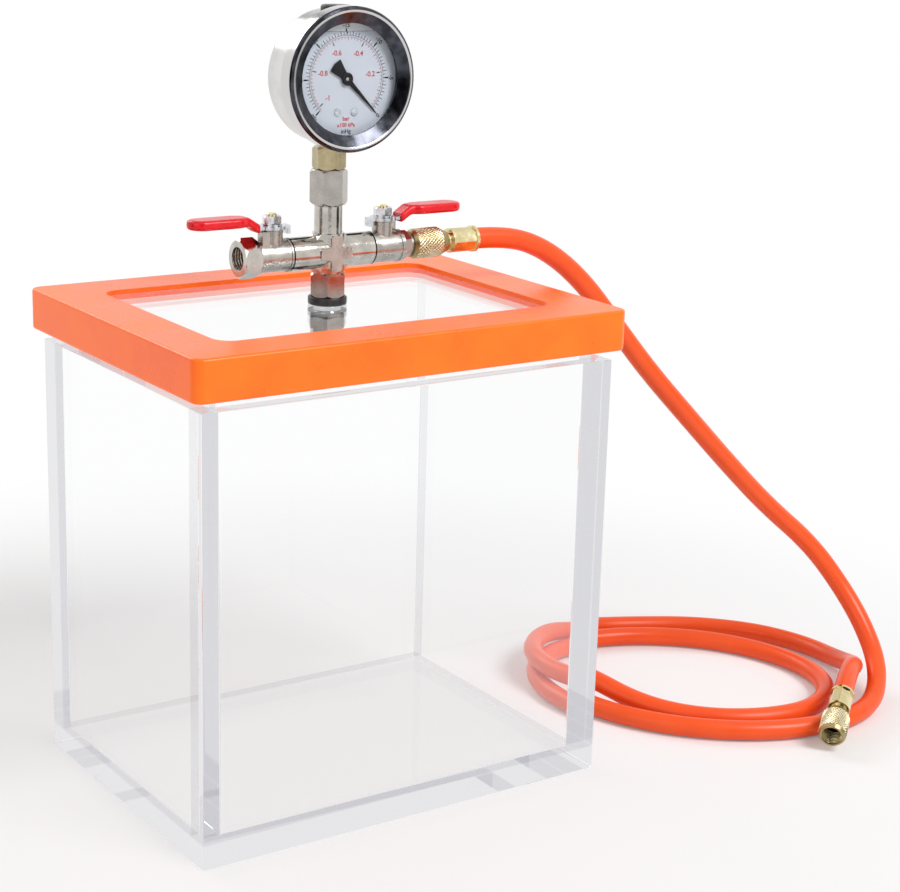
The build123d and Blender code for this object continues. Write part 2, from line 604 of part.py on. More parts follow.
# ---- assembly ----
def build_nodes():
    nodes = {}
    names = ("base_plate", "front_wall", "back_wall", "left_wall", "right_wall")
    nodes.update(zip(names, box_plates()))
    nodes["rim_frame"] = rim_frame()
    nodes["lid_plate"] = lid_plate()
    nodes["lid_gasket"] = lid_gasket()
    nodes["lid_adapter"] = lid_adapter()
    nodes["upper_seal_washer"], nodes["lower_seal_washer"] = seal_washers()
    nodes["lid_nut"] = lid_nut()
    nodes["cross_fitting"] = cross_fitting()
    nodes["gauge_coupling"] = gauge_coupling()

    # The same valve is used twice, the left one turned half round.
    valve = {
        "valve_body": valve_body(), "valve_ball": valve_ball(), "valve_seats": valve_seats(),
        "valve_stem": valve_stem(), "stem_seal": stem_seal(), "lever": valve_lever(),
        "lever_grip": lever_grip(), "lever_nut": lever_nut(),
    }
    for name, shape in valve.items():
        nodes["right_" + name] = shape
        nodes["left_" + name] = Rot(0, 0, 180) * shape
    nodes["right_flare_end"] = flare_end()
    nodes["left_port_end"] = Rot(0, 0, 180) * port_end()

    fittings = {
        "ferrule": hose_ferrule(), "insert": hose_insert(), "hose_gasket": hose_gasket(),
        "hose_nut": hose_nut(),
    }
    near = Plane(origin=on_axis(HOSE_X), z_dir=(-1, 0, 0))
    far = Plane(origin=FAR_END, z_dir=FAR_WAY)
    for name, shape in fittings.items():
        nodes["near_" + name] = near * shape
        nodes["far_" + name] = far * shape
    nodes["hose"] = hose_tube()

    nodes["gauge_stem"] = gauge_stem()
    nodes["gauge_case"] = gauge_case()
    nodes["gauge_bezel"] = gauge_bezel()
    nodes["gauge_window"] = gauge_window()
    nodes["window_gasket"] = window_gasket()
    nodes["gauge_dial"] = gauge_dial()
    nodes["dial_screws"] = dial_screws()
    nodes["pointer"] = pointer()
    nodes["pinion"] = pinion()
    nodes["sector_gear"] = sector_gear()
    nodes["link"] = link()
    nodes["movement_frame"] = movement_frame()
    nodes["bourdon_tube"] = bourdon_tube()
    nodes["fill_plug"] = fill_plug()
    return nodes


os.makedirs("parts", exist_ok=True)
for node, shape in build_nodes().items():
    export_step(shape, f"parts/{node}.step")
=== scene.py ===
# %% [markdown]
# # Dressing a vacuum chamber
# The part is a clear box that air is pumped out of, for taking bubbles out of resin or silicone.
# Its solids come from a CAD model, which is the fixed frame here. This script gives every solid
# its finish, and adds what is too fine for the solids: knurls, threads, the dial's printing, the
# gauge's liquid and the smooth hose. Lengths are written in millimetres and turned into metres
# with MM, since Blender's own unit is the metre.

# %% Load the frame
from math import asin, cos, pi, radians, sin

import bmesh
import bpy
from mathutils import Matrix, Vector


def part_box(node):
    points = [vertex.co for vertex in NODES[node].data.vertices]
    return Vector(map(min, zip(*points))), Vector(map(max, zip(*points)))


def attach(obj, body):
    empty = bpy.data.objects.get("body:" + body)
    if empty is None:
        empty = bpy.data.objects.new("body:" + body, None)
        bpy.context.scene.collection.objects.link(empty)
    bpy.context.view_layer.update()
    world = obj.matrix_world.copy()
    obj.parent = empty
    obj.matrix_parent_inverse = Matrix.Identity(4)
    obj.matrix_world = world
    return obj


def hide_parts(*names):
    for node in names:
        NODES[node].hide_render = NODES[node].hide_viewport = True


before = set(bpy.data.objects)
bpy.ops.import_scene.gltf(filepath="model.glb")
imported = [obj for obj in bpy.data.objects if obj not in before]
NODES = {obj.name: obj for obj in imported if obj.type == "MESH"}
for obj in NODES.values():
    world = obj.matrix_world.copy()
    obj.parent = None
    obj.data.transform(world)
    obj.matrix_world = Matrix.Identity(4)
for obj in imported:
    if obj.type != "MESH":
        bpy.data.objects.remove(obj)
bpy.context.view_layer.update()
MM = 0.001  # a millimetre in metres

# %% [markdown]
# ## Helpers for finishes
# A real surface is never one flat value. Each finish here starts from a Principled shader and
# gets slow changes of colour and roughness, and a fine bump, from noise on Object coordinates,
# so that the pattern stays put on the piece from every side. One function makes them all, so a
# finish is a line of numbers: two colours, a range of roughness, the size of a patch, and the
# strength and size of the bump.


# %% Two helpers for node trees
def node(tree, kind, place=(0, 0), **settings):
    """Adds a node; settings name its properties, or its inputs when written as in_Name."""
    made = tree.nodes.new(kind)
    made.location = place
    for key, value in settings.items():
        if key.startswith("in_"):
            made.inputs[key[3:].replace("_", " ")].default_value = value
        else:
            setattr(made, key, value)
    return made


def calculate(tree, operation, *values):
    """Math node; each value is a number or a socket."""
    made = tree.nodes.new("ShaderNodeMath")
    made.operation = operation
    for socket, value in zip(made.inputs, values):
        if isinstance(value, (int, float)):
            socket.default_value = value
        else:
            tree.links.new(value, socket)
    return made.outputs[0]


# %% A material with noise in its colour, roughness and bump
NOISE_LOW, NOISE_HIGH = 0.35, 0.65  # most of a noise lies between these
BUMP_DEPTH = 0.2 * MM


def finish(name, dark, light, roughness, metallic=0.0, patch=12.0, bump=(0.0, 0.5), **shader):
    """Principled material. dark and light are the two colours that the noise runs between."""
    material = bpy.data.materials.new(name)
    material.use_nodes = True
    tree = material.node_tree
    link = tree.links.new
    main = tree.nodes["Principled BSDF"]
    main.inputs["Metallic"].default_value = metallic
    for socket, value in shader.items():
        main.inputs[socket.replace("_", " ")].default_value = value
    place = node(tree, "ShaderNodeTexCoord", (-900, 0))
    noise = node(tree, "ShaderNodeTexNoise", (-700, 0), in_Scale=1 / (patch * MM), in_Detail=4.0)
    link(place.outputs["Object"], noise.inputs["Vector"])
    tone = node(tree, "ShaderNodeValToRGB", (-450, 100))
    for stop, position, colour in zip(tone.color_ramp.elements, (NOISE_LOW, NOISE_HIGH), (dark, light)):
        stop.position, stop.color = position, (*colour, 1)
    link(noise.outputs["Fac"], tone.inputs["Fac"])
    link(tone.outputs["Color"], main.inputs["Base Color"])
    spread = node(tree, "ShaderNodeMapRange", (-450, -150))
    spread.inputs["From Min"].default_value = NOISE_LOW
    spread.inputs["From Max"].default_value = NOISE_HIGH
    spread.inputs["To Min"].default_value, spread.inputs["To Max"].default_value = roughness
    link(noise.outputs["Fac"], spread.inputs["Value"])
    link(spread.outputs["Result"], main.inputs["Roughness"])
    strength, size = bump
    if strength:
        grain = node(tree, "ShaderNodeTexNoise", (-700, -400), in_Scale=1 / (size * MM), in_Detail=3.0)
        link(place.outputs["Object"], grain.inputs["Vector"])
        relief = node(tree, "ShaderNodeBump", (-250, -350), in_Strength=strength)
        relief.inputs["Distance"].default_value = BUMP_DEPTH
        link(grain.outputs["Fac"], relief.inputs["Height"])
        link(relief.outputs["Normal"], main.inputs["Normal"])
    return material


# %% [markdown]
# ## Metals
# The fittings are nickel-plated brass: polished where they were turned or tumbled, satin where
# they are left as cast. Polish shows as low roughness with a slow, shallow ripple, which breaks
# the reflections as a hand-polished casting does. The levers are zinc-plated steel, the hose
# fittings bright yellow brass, and the gauge's case polished stainless steel. A knurled nut
# takes two brasses: a darker one on its barrel, which shows in the grooves as painted shade,
# and a paler one on the ridges.

# %% Metal finishes
POLISHED = dict(roughness=(0.07, 0.17), metallic=1.0, patch=9, bump=(0.14, 2.2))
NICKEL_TONES = (0.46, 0.43, 0.39), (0.62, 0.59, 0.54)
# painted reflection: the lid adapter's nickel is darker and warmer, as if it mirrored the orange gasket
GASKET_REFLECTION_TONES = (0.40, 0.32, 0.28), (0.52, 0.43, 0.38)
SATIN_TONES = (0.40, 0.385, 0.35), (0.52, 0.50, 0.46)
SATIN = (0.22, 0.34)
nickel = finish("polished_nickel", *NICKEL_TONES, **POLISHED)
painted_reflection_nickel = finish("painted_reflection_nickel", *GASKET_REFLECTION_TONES, **POLISHED)
satin_nickel = finish("satin_nickel", *SATIN_TONES, SATIN, 1.0, 6, (0.05, 0.35))
brass = finish(
    "bright_brass", (0.70, 0.58, 0.31), (0.86, 0.76, 0.46), (0.12, 0.24), 1.0, 5, (0.05, 0.5)
)
# painted shade: the nut's barrel is a darker brass, so the knurl's grooves look shaded
painted_shade_brass = finish(
    "painted_shade_brass", (0.34, 0.25, 0.11), (0.46, 0.36, 0.18), (0.29, 0.36), 1.0, 5, (0.05, 0.5)
)
bright_ridge = finish("bright_ridge", (0.86, 0.76, 0.48), (0.95, 0.87, 0.62), (0.29, 0.34), 1.0, 5)
pale_brass = finish(
    "milled_brass", (0.36, 0.30, 0.17), (0.50, 0.43, 0.26), (0.20, 0.32), 1.0, 4, (0.10, 0.4)
)
zinc = finish(
    "zinc_plate", (0.52, 0.55, 0.58), (0.74, 0.76, 0.78), (0.16, 0.30), 1.0, 2.5, (0.08, 0.5)
)
stainless = finish(
    "polished_stainless", (0.58, 0.575, 0.56), (0.70, 0.695, 0.68), (0.20, 0.28), 1.0, 18, (0.02, 0.8)
)
print(len(bpy.data.materials), "materials so far")

# %% [markdown]
# ## Metals with two finishes on one piece
# The bezel, the valve bodies and the cross need a second finish on part of their surface.
# Cutting the solid would add edges that it hasn't got, so the material finds the place itself,
# from the distances of a point from the axes, and mixes the second finish in there.


# %% Helpers: a point's distances, and a second colour at a place
def own_xyz(tree):
    """The Object coordinates, whole and as three numbers."""
    place = node(tree, "ShaderNodeTexCoord", (-1500, 500))
    parts = node(tree, "ShaderNodeSeparateXYZ", (-1300, 500))
    tree.links.new(place.outputs["Object"], parts.inputs[0])
    return place.outputs["Object"], parts.outputs


def recolour(tree, where, colour):
    """Puts a plain colour over the finish's own wherever the socket called where is 1."""
    mix = node(tree, "ShaderNodeMix", (-200, 400), data_type="RGBA")
    tree.links.new(where, mix.inputs["Factor"])
    # A Mix node keeps its colour sockets at these numbers.
    own, second, result = mix.inputs[6], mix.inputs[7], mix.outputs[2]
    tree.links.new(tree.nodes["Color Ramp"].outputs["Color"], own)
    second.default_value = (*colour, 1)
    tree.links.new(result, tree.nodes["Principled BSDF"].inputs["Base Color"])


# %% [markdown]
# ## The gauge's bezel
# The bezel is rolled from polished steel. Its sloping face mirrors the dark side of a room, and
# the ring where it turns over, and its outside, mirror the bright one. A white studio has too
# little dark in it for that, so the slope and the rolled edge get a painted dark reflection: a
# dark colour of their own.

# %% Bezel: painted dark reflection on the slope, bright ring, bright side
GAUGE_Z = 342.0  # height of the gauge's centre
RING_RADIUS, RING_HALF_WIDTH = 31.1, 0.55
SIDE_FROM_Y, SIDE_RADIUS = -19.9, 32.6  # the outside lies behind this y and past this radius


def bezel_painted_dark(name):
    """Polished steel: painted dark reflection on the cone and rolled edge; bright ring and side."""
    # dark and light are a painted dark reflection of a room; the ring and the side get plain steel
    dark, light = (0.035, 0.037, 0.046), (0.085, 0.088, 0.105)
    material = finish(name, dark, light, (0.14, 0.24), 1.0, 5, (0.04, 0.5))
    tree = material.node_tree
    parts = own_xyz(tree)[1]
    across = parts["X"]
    rise = calculate(tree, "SUBTRACT", parts["Z"], GAUGE_Z * MM)
    rise_squared = calculate(tree, "MULTIPLY", rise, rise)
    square = calculate(tree, "ADD", rise_squared, calculate(tree, "MULTIPLY", across, across))
    out = calculate(tree, "SQRT", square)
    ring = calculate(tree, "COMPARE", out, RING_RADIUS * MM, RING_HALF_WIDTH * MM)
    side = calculate(tree, "GREATER_THAN", parts["Y"], SIDE_FROM_Y * MM)
    outside = calculate(tree, "GREATER_THAN", out, SIDE_RADIUS * MM)
    steel = calculate(tree, "MAXIMUM", ring, calculate(tree, "MULTIPLY", side, outside))
    recolour(tree, steel, (0.62, 0.61, 0.60))
    return material


bezel_steel = bezel_painted_dark("bezel_steel")
print("bright ring", RING_RADIUS, "mm from the gauge's centre")

# %% [markdown]
# ## The valves' sealed joints
# Each valve is screwed into the cross with a thread sealant, which shows as a dark line round
# the joint. It lies at the same distance on both sides, so one material serves both valves.

# %% Valve bodies: a dark line where they meet the cross
SEAM_X, SEAM_HALF_WIDTH = 22.0, 0.75


def sealed_seam(name):
    """The satin casting, with a dark line at the joint on both sides of the cross."""
    material = finish(name, *SATIN_TONES, SATIN, 1.0, 6, (0.16, 0.35))
    tree = material.node_tree
    far = calculate(tree, "ABSOLUTE", own_xyz(tree)[1]["X"])
    line = calculate(tree, "COMPARE", far, SEAM_X * MM, SEAM_HALF_WIDTH * MM)
    recolour(tree, line, (0.006, 0.006, 0.006))
    return material


valve_nickel = sealed_seam("valve_nickel")
print("seams at x", -SEAM_X, "and", SEAM_X)

# %% [markdown]
# ## The cross's cast rib
# The cross was cast in sand. Its arms were polished and a raised rib on each face was left as it
# came from the mould, rough and dull. Past the face of the arms, the material adds a coarse bump
# and more roughness.

# %% The cross: polished arms and a rib left as cast
RIB_FACE = 8.3  # the rib stands further from the middle than this
SAND_GRAIN, SAND_DEPTH, SAND_STRENGTH, SAND_ROUGHNESS = 0.9, 0.5, 0.8, 0.20


def cast_cross(name):
    """Polished nickel, rough as sand where it stands out past the arms."""
    material = finish(name, *NICKEL_TONES, **POLISHED)
    tree = material.node_tree
    link = tree.links.new
    main = tree.nodes["Principled BSDF"]
    place, parts = own_xyz(tree)
    depth = calculate(tree, "ABSOLUTE", parts["Y"])
    rib = calculate(tree, "GREATER_THAN", depth, RIB_FACE * MM)
    sand = node(tree, "ShaderNodeTexNoise", (-700, 700), in_Scale=1 / (SAND_GRAIN * MM), in_Detail=4.0)
    link(place, sand.inputs["Vector"])
    relief = node(tree, "ShaderNodeBump", (-250, 700), in_Distance=SAND_DEPTH * MM)
    link(calculate(tree, "MULTIPLY", rib, SAND_STRENGTH), relief.inputs["Strength"])
    link(sand.outputs["Fac"], relief.inputs["Height"])
    link(tree.nodes["Bump"].outputs["Normal"], relief.inputs["Normal"])
    link(relief.outputs["Normal"], main.inputs["Normal"])
    rough = main.inputs["Roughness"].links[0].from_socket
    extra = calculate(tree, "MULTIPLY", rib, SAND_ROUGHNESS)
    link(calculate(tree, "ADD", rough, extra), main.inputs["Roughness"])
    return material


cross_nickel = cast_cross("cross_nickel")
print("rib starts", RIB_FACE, "mm from the middle")

# %% [markdown]
# ## Rubber, silicone, vinyl and enamel
# The lid's edging is moulded silicone. Light goes a little way into it, so its shaded sides
# stay a deep orange: a faint glow of that colour stands for it. The grips are dipped in vinyl,
# which leaves a glossy skin, and the hose is smooth red rubber.

# %% Soft finishes
silicone = finish(
    "orange_silicone", (0.94, 0.145, 0.0015), (0.98, 0.18, 0.003), (0.26, 0.32), patch=25,
    Specular_IOR_Level=0.40, Sheen_Weight=0.30, Sheen_Roughness=0.22,
    # painted glow: a faint orange emission stands in for light that passes into the silicone
    Emission_Color=(1.0, 0.03, 0.0, 1), Emission_Strength=0.18,
)
silicone.cycles.emission_sampling = "NONE"
black_rubber = finish(
    "black_rubber", (0.010, 0.010, 0.011), (0.022, 0.021, 0.021), (0.28, 0.45), patch=3,
    bump=(0.08, 0.3),
)
vinyl = finish(
    "red_vinyl", (0.68, 0.006, 0.012), (0.76, 0.010, 0.018), (0.16, 0.26), patch=6,
    bump=(0.06, 4.0), Specular_IOR_Level=0.35,
)
hose_rubber = finish(
    "red_hose_rubber", (0.86, 0.085, 0.010), (0.90, 0.100, 0.014), (0.30, 0.38), patch=30,
    bump=(0.04, 0.4), Specular_IOR_Level=0.35,
)
ptfe = finish("white_seal", (0.78, 0.78, 0.75), (0.86, 0.86, 0.83), (0.40, 0.55), patch=2)
print(len(bpy.data.materials), "materials so far")

# %% Paints and inks
INK_SHINE = 0.15  # specular level of matt black paint and of print
enamel = finish("dial_enamel", (0.80, 0.83, 0.88), (0.84, 0.87, 0.91), (0.30, 0.36), patch=15)
black_enamel = finish(
    "pointer_enamel", (0.003, 0.003, 0.004), (0.006, 0.006, 0.007), (0.40, 0.50), patch=2,
    Specular_IOR_Level=INK_SHINE,
)
black_ink = finish(
    "black_print", (0.004, 0.004, 0.005), (0.008, 0.008, 0.009), (0.5, 0.6), patch=0.4,
    Specular_IOR_Level=INK_SHINE,
)
red_ink = finish(
    "red_print", (0.62, 0.03, 0.04), (0.70, 0.05, 0.06), (0.5, 0.6), patch=0.4,
    Specular_IOR_Level=INK_SHINE,
)
print(len(bpy.data.materials), "materials so far")

# %% [markdown]
# ## Clear plastic
# Clear acrylic bends light and mirrors it inside its edges, which is what draws the grey bands
# at the box's corners. A render without caustics would give such a solid a black shadow, so for
# shadow rays and for light that has already bounced off something matt, the material lets light
# pass with only a faint tint. Light that has bounced many times inside the walls comes out as
# the pale grey of the room, so rays past a set depth glow in that grey: painted light, an
# emission that stands in for it.


# %% A clear solid that lets light through
def passing_light(tree):
    """1 for shadow rays and for light off something matt, as a socket. Also the Light Path node."""
    path = node(tree, "ShaderNodeLightPath", (-400, 300))
    passing = calculate(tree, "MAXIMUM", path.outputs["Is Shadow Ray"], path.outputs["Is Diffuse Ray"])
    return passing, path


def mixed(tree, share, first, second, place):
    """Mix Shader's output: first where share is 0, second where it is 1."""
    mix = node(tree, "ShaderNodeMixShader", place)
    for value, socket in zip((share, first, second), mix.inputs):
        tree.links.new(value, socket)
    return mix.outputs[0]


def clear(name, ior, tint, pass_tint, deep_after, deep_grey):
    """Bends light for the camera, and passes it for lamps. Rays past deep_after turn deep_grey."""
    material = bpy.data.materials.new(name)
    material.use_nodes = True
    tree = material.node_tree
    main = tree.nodes["Principled BSDF"]
    main.inputs["Base Color"].default_value = (*tint, 1)
    main.inputs["Roughness"].default_value = 0.0
    main.inputs["IOR"].default_value = ior
    main.inputs["Transmission Weight"].default_value = 1.0
    main.inputs["Specular IOR Level"].default_value = 0.3
    passing, path = passing_light(tree)
    through = node(tree, "ShaderNodeBsdfTransparent", (0, -200), in_Color=(*pass_tint, 1))
    surface = mixed(tree, passing, main.outputs[0], through.outputs[0], (300, 100))
    many = calculate(tree, "GREATER_THAN", path.outputs["Ray Depth"], deep_after)
    bending = calculate(tree, "SUBTRACT", 1.0, passing)
    # painted light: rays past deep_after glow in the room's grey
    pale = node(tree, "ShaderNodeEmission", (300, -150), in_Color=(*deep_grey, 1))
    lost = calculate(tree, "MULTIPLY", many, bending)
    surface = mixed(tree, lost, surface, pale.outputs[0], (550, 100))
    material.cycles.emission_sampling = "NONE"
    tree.links.new(surface, tree.nodes["Material Output"].inputs["Surface"])
    return material


ACRYLIC_IOR = 1.49
acrylic = clear(
    "clear_acrylic", ACRYLIC_IOR, tint=(0.999, 1.0, 1.0), pass_tint=(0.96, 0.965, 0.965),
    deep_after=3.5, deep_grey=(0.79, 0.79, 0.805),
)
print("acrylic's index of refraction", ACRYLIC_IOR)

# %% [markdown]
# ## Thin glass, liquid and glue
# The gauge's window and its liquid move what is seen through them, so they refract for the
# camera, and pass lamps' light as the acrylic does. A film of glue is too thin to bend anything:
# it only tints. The window and the liquid shine a little more at a glancing angle, which Fresnel
# works out; the glue doesn't shine.


# %% A clear pane or slice
def thin_clear(name, tint, shine, ior=None):
    """A pane that tints what is behind it and shines a little. One with an ior bends light too."""
    material = bpy.data.materials.new(name)
    material.use_nodes = True
    tree = material.node_tree
    tree.nodes.remove(tree.nodes["Principled BSDF"])
    through = node(tree, "ShaderNodeBsdfTransparent", (0, 0), in_Color=(*tint, 1)).outputs[0]
    gloss = node(tree, "ShaderNodeBsdfGlossy", (0, -200), in_Roughness=0.03)
    glance = node(tree, "ShaderNodeFresnel", (-200, 200), in_IOR=1.3)
    if ior:
        bent = node(tree, "ShaderNodeBsdfRefraction", (0, 200), in_Roughness=0.0, in_IOR=ior)
        bent.inputs["Color"].default_value = (*tint, 1)
        through = mixed(tree, passing_light(tree)[0], bent.outputs[0], through, (150, 100))
    mirrored = calculate(tree, "MULTIPLY", glance.outputs[0], shine)
    surface = mixed(tree, mirrored, through, gloss.outputs[0], (300, 0))
    tree.links.new(surface, tree.nodes["Material Output"].inputs["Surface"])
    return material


gauge_glass = thin_clear("gauge_glass", (0.99, 0.995, 0.995), 0.5, ior=1.5)
glycerine = thin_clear("clear_glycerine", (0.95, 0.955, 0.97), 0.3, ior=1.47)
bond_film = thin_clear("bond_film", (0.93, 0.93, 0.94), 0.0)
print(len(bpy.data.materials), "materials so far")

# %% [markdown]
# ## Which solid gets which finish
# A CAD solid whose shape is right stays as it is, and only gets its material. One table of names
# and finishes does that, and the pieces that come twice are added to it in a loop, so that a
# left piece can't end up with another finish than its right one.

# %% Put the finishes on the CAD solids
FINISHES = {
    "lid_gasket": silicone, "lid_adapter": painted_reflection_nickel, "upper_seal_washer": black_rubber,
    "lower_seal_washer": black_rubber, "lid_nut": nickel, "cross_fitting": cross_nickel,
    "gauge_coupling": satin_nickel, "left_port_end": nickel, "right_flare_end": satin_nickel,
    "gauge_stem": pale_brass, "gauge_case": stainless, "gauge_bezel": bezel_steel,
    "gauge_window": gauge_glass, "window_gasket": black_rubber, "gauge_dial": enamel,
    "dial_screws": zinc, "pointer": black_enamel, "pinion": satin_nickel, "sector_gear": brass,
    "link": brass, "movement_frame": brass, "bourdon_tube": brass, "fill_plug": black_rubber,
}
for side in ("left_", "right_"):
    FINISHES |= {
        side + "valve_body": valve_nickel, side + "valve_ball": nickel, side + "valve_seats": ptfe,
        side + "valve_stem": brass, side + "stem_seal": ptfe, side + "lever": zinc,
        side + "lever_grip": vinyl, side + "lever_nut": zinc,
    }
for end in ("near_", "far_"):
    FINISHES |= {
        end + "ferrule": brass, end + "insert": brass, end + "hose_gasket": black_rubber,
        end + "hose_nut": painted_shade_brass,
    }
for name, material in FINISHES.items():
    mesh = NODES[name].data
    mesh.materials.clear()
    mesh.materials.append(material)
print(len(FINISHES), "solids finished")


# %% [markdown]
# ## New pieces
# Whatever this script makes itself is a mesh of its own that rides on one of the moving bodies,
# so that it turns with them. Where it takes the place of a solid, that solid is hidden, and its
# material gives its finish.


# %% Helpers: a finished piece that rides on a body, and a plain mesh
def piece(name, mesh, material, body="chamber", stands_for=()):
    """Hangs a mesh on a body, in its finish, and hides the solids that it stands for."""
    made = bpy.data.objects.new(name, mesh)
    bpy.context.scene.collection.objects.link(made)
    if material is not None:
        mesh.materials.clear()
        mesh.materials.append(material)
    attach(made, body)
    if stands_for:
        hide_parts(*stands_for)
    return made


def plain_mesh(source):
    """What an object looks like with its modifiers, as a mesh of its own."""
    graph = bpy.context.evaluated_depsgraph_get()
    return bpy.data.meshes.new_from_object(source.evaluated_get(graph))


# %% [markdown]
# ## The acrylic box
# Five plates and a rim frame are bonded into one clear body. In CAD they are separate solids,
# but light doesn't stop at a good bond, so here they are one closed shell: rings of corners,
# from the outside of the foot up over the rim and down to the inner floor, joined by walls. A
# small bevel polishes its edges, and catches the light.


# %% Helper: a ring of corners
def ring_of_corners(work, half_x, half_y, z):
    """Four new corners round the Z axis at one height."""
    corners = ((-half_x, -half_y), (half_x, -half_y), (half_x, half_y), (-half_x, half_y))
    return [work.verts.new((x, y, z)) for x, y in corners]


# %% Sizes of the box
base_low, base_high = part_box("base_plate")
wall_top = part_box("front_wall")[1].z
rim_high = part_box("rim_frame")[1]
inner_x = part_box("right_wall")[0].x
inner_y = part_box("back_wall")[0].y
HAIR = 0.03 * MM  # clearance that keeps a clear face off the face that it touches
POLISH = 0.45 * MM  # bevel of the box's edges
print("inside, in mm", round(2 * inner_x / MM, 1), "x", round(2 * inner_y / MM, 1))

# %% Box shell from rings of corners
work = bmesh.new()
rings = [
    ring_of_corners(work, base_high.x, base_high.y, base_low.z + HAIR),
    ring_of_corners(work, base_high.x, base_high.y, wall_top),
    ring_of_corners(work, rim_high.x, rim_high.y, wall_top),
    ring_of_corners(work, rim_high.x, rim_high.y, rim_high.z - HAIR),
    ring_of_corners(work, inner_x, inner_y, rim_high.z - HAIR),
    ring_of_corners(work, inner_x, inner_y, base_high.z),
]
work.faces.new(rings[0][::-1])
for lower, upper in zip(rings, rings[1:]):
    for a in range(4):
        b = (a + 1) % 4
        work.faces.new((lower[a], lower[b], upper[b], upper[a]))
work.faces.new(rings[-1])
bmesh.ops.recalc_face_normals(work, faces=work.faces)
bmesh.ops.bevel(work, geom=work.edges[:], offset=POLISH, segments=2, affect="EDGES", profile=0.6)
shell_mesh = bpy.data.meshes.new("acrylic_box")
work.to_mesh(shell_mesh)
work.free()
piece(
    "acrylic_box", shell_mesh, acrylic,
    stands_for=("base_plate", "front_wall", "back_wall", "left_wall", "right_wall", "rim_frame"),
)
print("box shell", len(shell_mesh.polygons), "faces")

# %% [markdown]
# ## The bonds between the plates
# Where two acrylic plates are glued, a trace of the joint stays in sight: it is why the walls'
# ends show as pale bands at the corners. Each bond is a very thin clear film just inside the
# shell, at the place where the plates meet.


# %% Films at the glued joints
def slab(work, low, high):
    """A block between two opposite corners."""
    made = bmesh.ops.create_cube(work, size=1.0)["verts"]
    size = Vector(high) - Vector(low)
    middle = (Vector(high) + Vector(low)) / 2
    bmesh.ops.scale(work, vec=size, verts=made)
    bmesh.ops.translate(work, vec=middle, verts=made)


SHY = 0.35 * MM  # how far a film stays inside the shell
FILM = 0.02 * MM  # half of a film's thickness
work = bmesh.new()
outer_x, outer_y = base_high.x - SHY, base_high.y - SHY
wall_in_x, wall_in_y = inner_x + SHY, inner_y + SHY
floor_top = base_high.z
for side in (-1, 1):
    x_near, x_far = sorted((side * wall_in_x, side * outer_x))
    for end in (-1, 1):
        joint = end * inner_y
        slab(work, (x_near, joint - FILM, floor_top + SHY), (x_far, joint + FILM, wall_top - SHY))
    slab(work, (x_near, -outer_y, floor_top - FILM), (x_far, outer_y, floor_top + FILM))
    y_near, y_far = sorted((side * wall_in_y, side * outer_y))
    half_x = wall_in_x - SHY
    slab(work, (-half_x, y_near, floor_top - FILM), (half_x, y_far, floor_top + FILM))
bond_mesh = bpy.data.meshes.new("wall_bonds")
work.to_mesh(bond_mesh)
work.free()
piece("wall_bonds", bond_mesh, bond_film)
print("bonds", len(bond_mesh.polygons) // 6, "films")

# %% [markdown]
# ## The lid's clear plate
# The plate is a rounded rectangle with a hole for the stud. A flat curve with two outlines fills
# the space between them, and its extrude and bevel give the thickness and the polished edge.


# %% Helpers: outlines, and a plate that fills them
def outline_points(half_x, half_y, corner, steps=8):
    """A rectangle with round corners."""
    points = []
    for turn, (sx, sy) in enumerate(((1, 1), (-1, 1), (-1, -1), (1, -1))):
        for step in range(steps + 1):
            angle = radians(90) * (turn + step / steps)
            x = sx * (half_x - corner) + corner * cos(angle)
            points.append((x, sy * (half_y - corner) + corner * sin(angle)))
    return points


def circle_points(radius, steps=48):
    """A circle round the origin."""
    angles = [2 * pi * k / steps for k in range(steps)]
    return [(radius * cos(angle), radius * sin(angle)) for angle in angles]


def filled_plate(name, outlines, bottom, top, bevel):
    """A plate between two heights, filled between its outlines, with polished edges."""
    curve = bpy.data.curves.new(name, "CURVE")
    curve.dimensions, curve.fill_mode = "2D", "BOTH"
    curve.bevel_depth, curve.bevel_resolution = bevel, 2
    curve.extrude = (top - bottom) / 2 - bevel
    for points in outlines:
        spline = curve.splines.new("POLY")
        spline.points.add(len(points) - 1)
        for corner, (x, y) in zip(spline.points, points):
            corner.co = (x, y, 0, 1)
        spline.use_cyclic_u = True
    holder = bpy.data.objects.new(name, curve)
    bpy.context.scene.collection.objects.link(holder)
    mesh = plain_mesh(holder)
    bpy.data.objects.remove(holder)
    mesh.transform(Matrix.Translation((0, 0, (top + bottom) / 2)))
    work = bmesh.new()
    work.from_mesh(mesh)
    bmesh.ops.remove_doubles(work, verts=work.verts, dist=1e-7)
    bmesh.ops.recalc_face_normals(work, faces=work.faces)
    work.to_mesh(mesh)
    work.free()
    return mesh


# %% Lid plate from a filled curve
LID_CORNER = 1.5 * MM
STUD_RADIUS = 6.5 * MM
LID_EDGE = 0.35 * MM
lid_low, lid_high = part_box("lid_plate")
inset = LID_EDGE + HAIR
lid_outline = outline_points(lid_high.x - inset, lid_high.y - inset, LID_CORNER)
lid_hole = circle_points(STUD_RADIUS + LID_EDGE + 2 * HAIR)
lid_span = lid_low.z + HAIR, lid_high.z - HAIR
lid_mesh = filled_plate("clear_lid", (lid_outline, lid_hole), *lid_span, LID_EDGE)
clear_lid = piece("clear_lid", lid_mesh, acrylic, stands_for=("lid_plate",))
lid_box = [round(v / MM, 2) for v in (*clear_lid.bound_box[0], *clear_lid.bound_box[6])]
print("lid plate", lid_box, "CAD", [round(v / MM, 2) for v in (*lid_low, *lid_high)])

# %% [markdown]
# ## The dipped grips
# Vinyl is put on by dipping the hot lever, so it has no hard edge anywhere. The CAD grip has the
# right size, so a copy of it is merged, remeshed into small even faces and smoothed, which rounds
# every edge as a dip does.


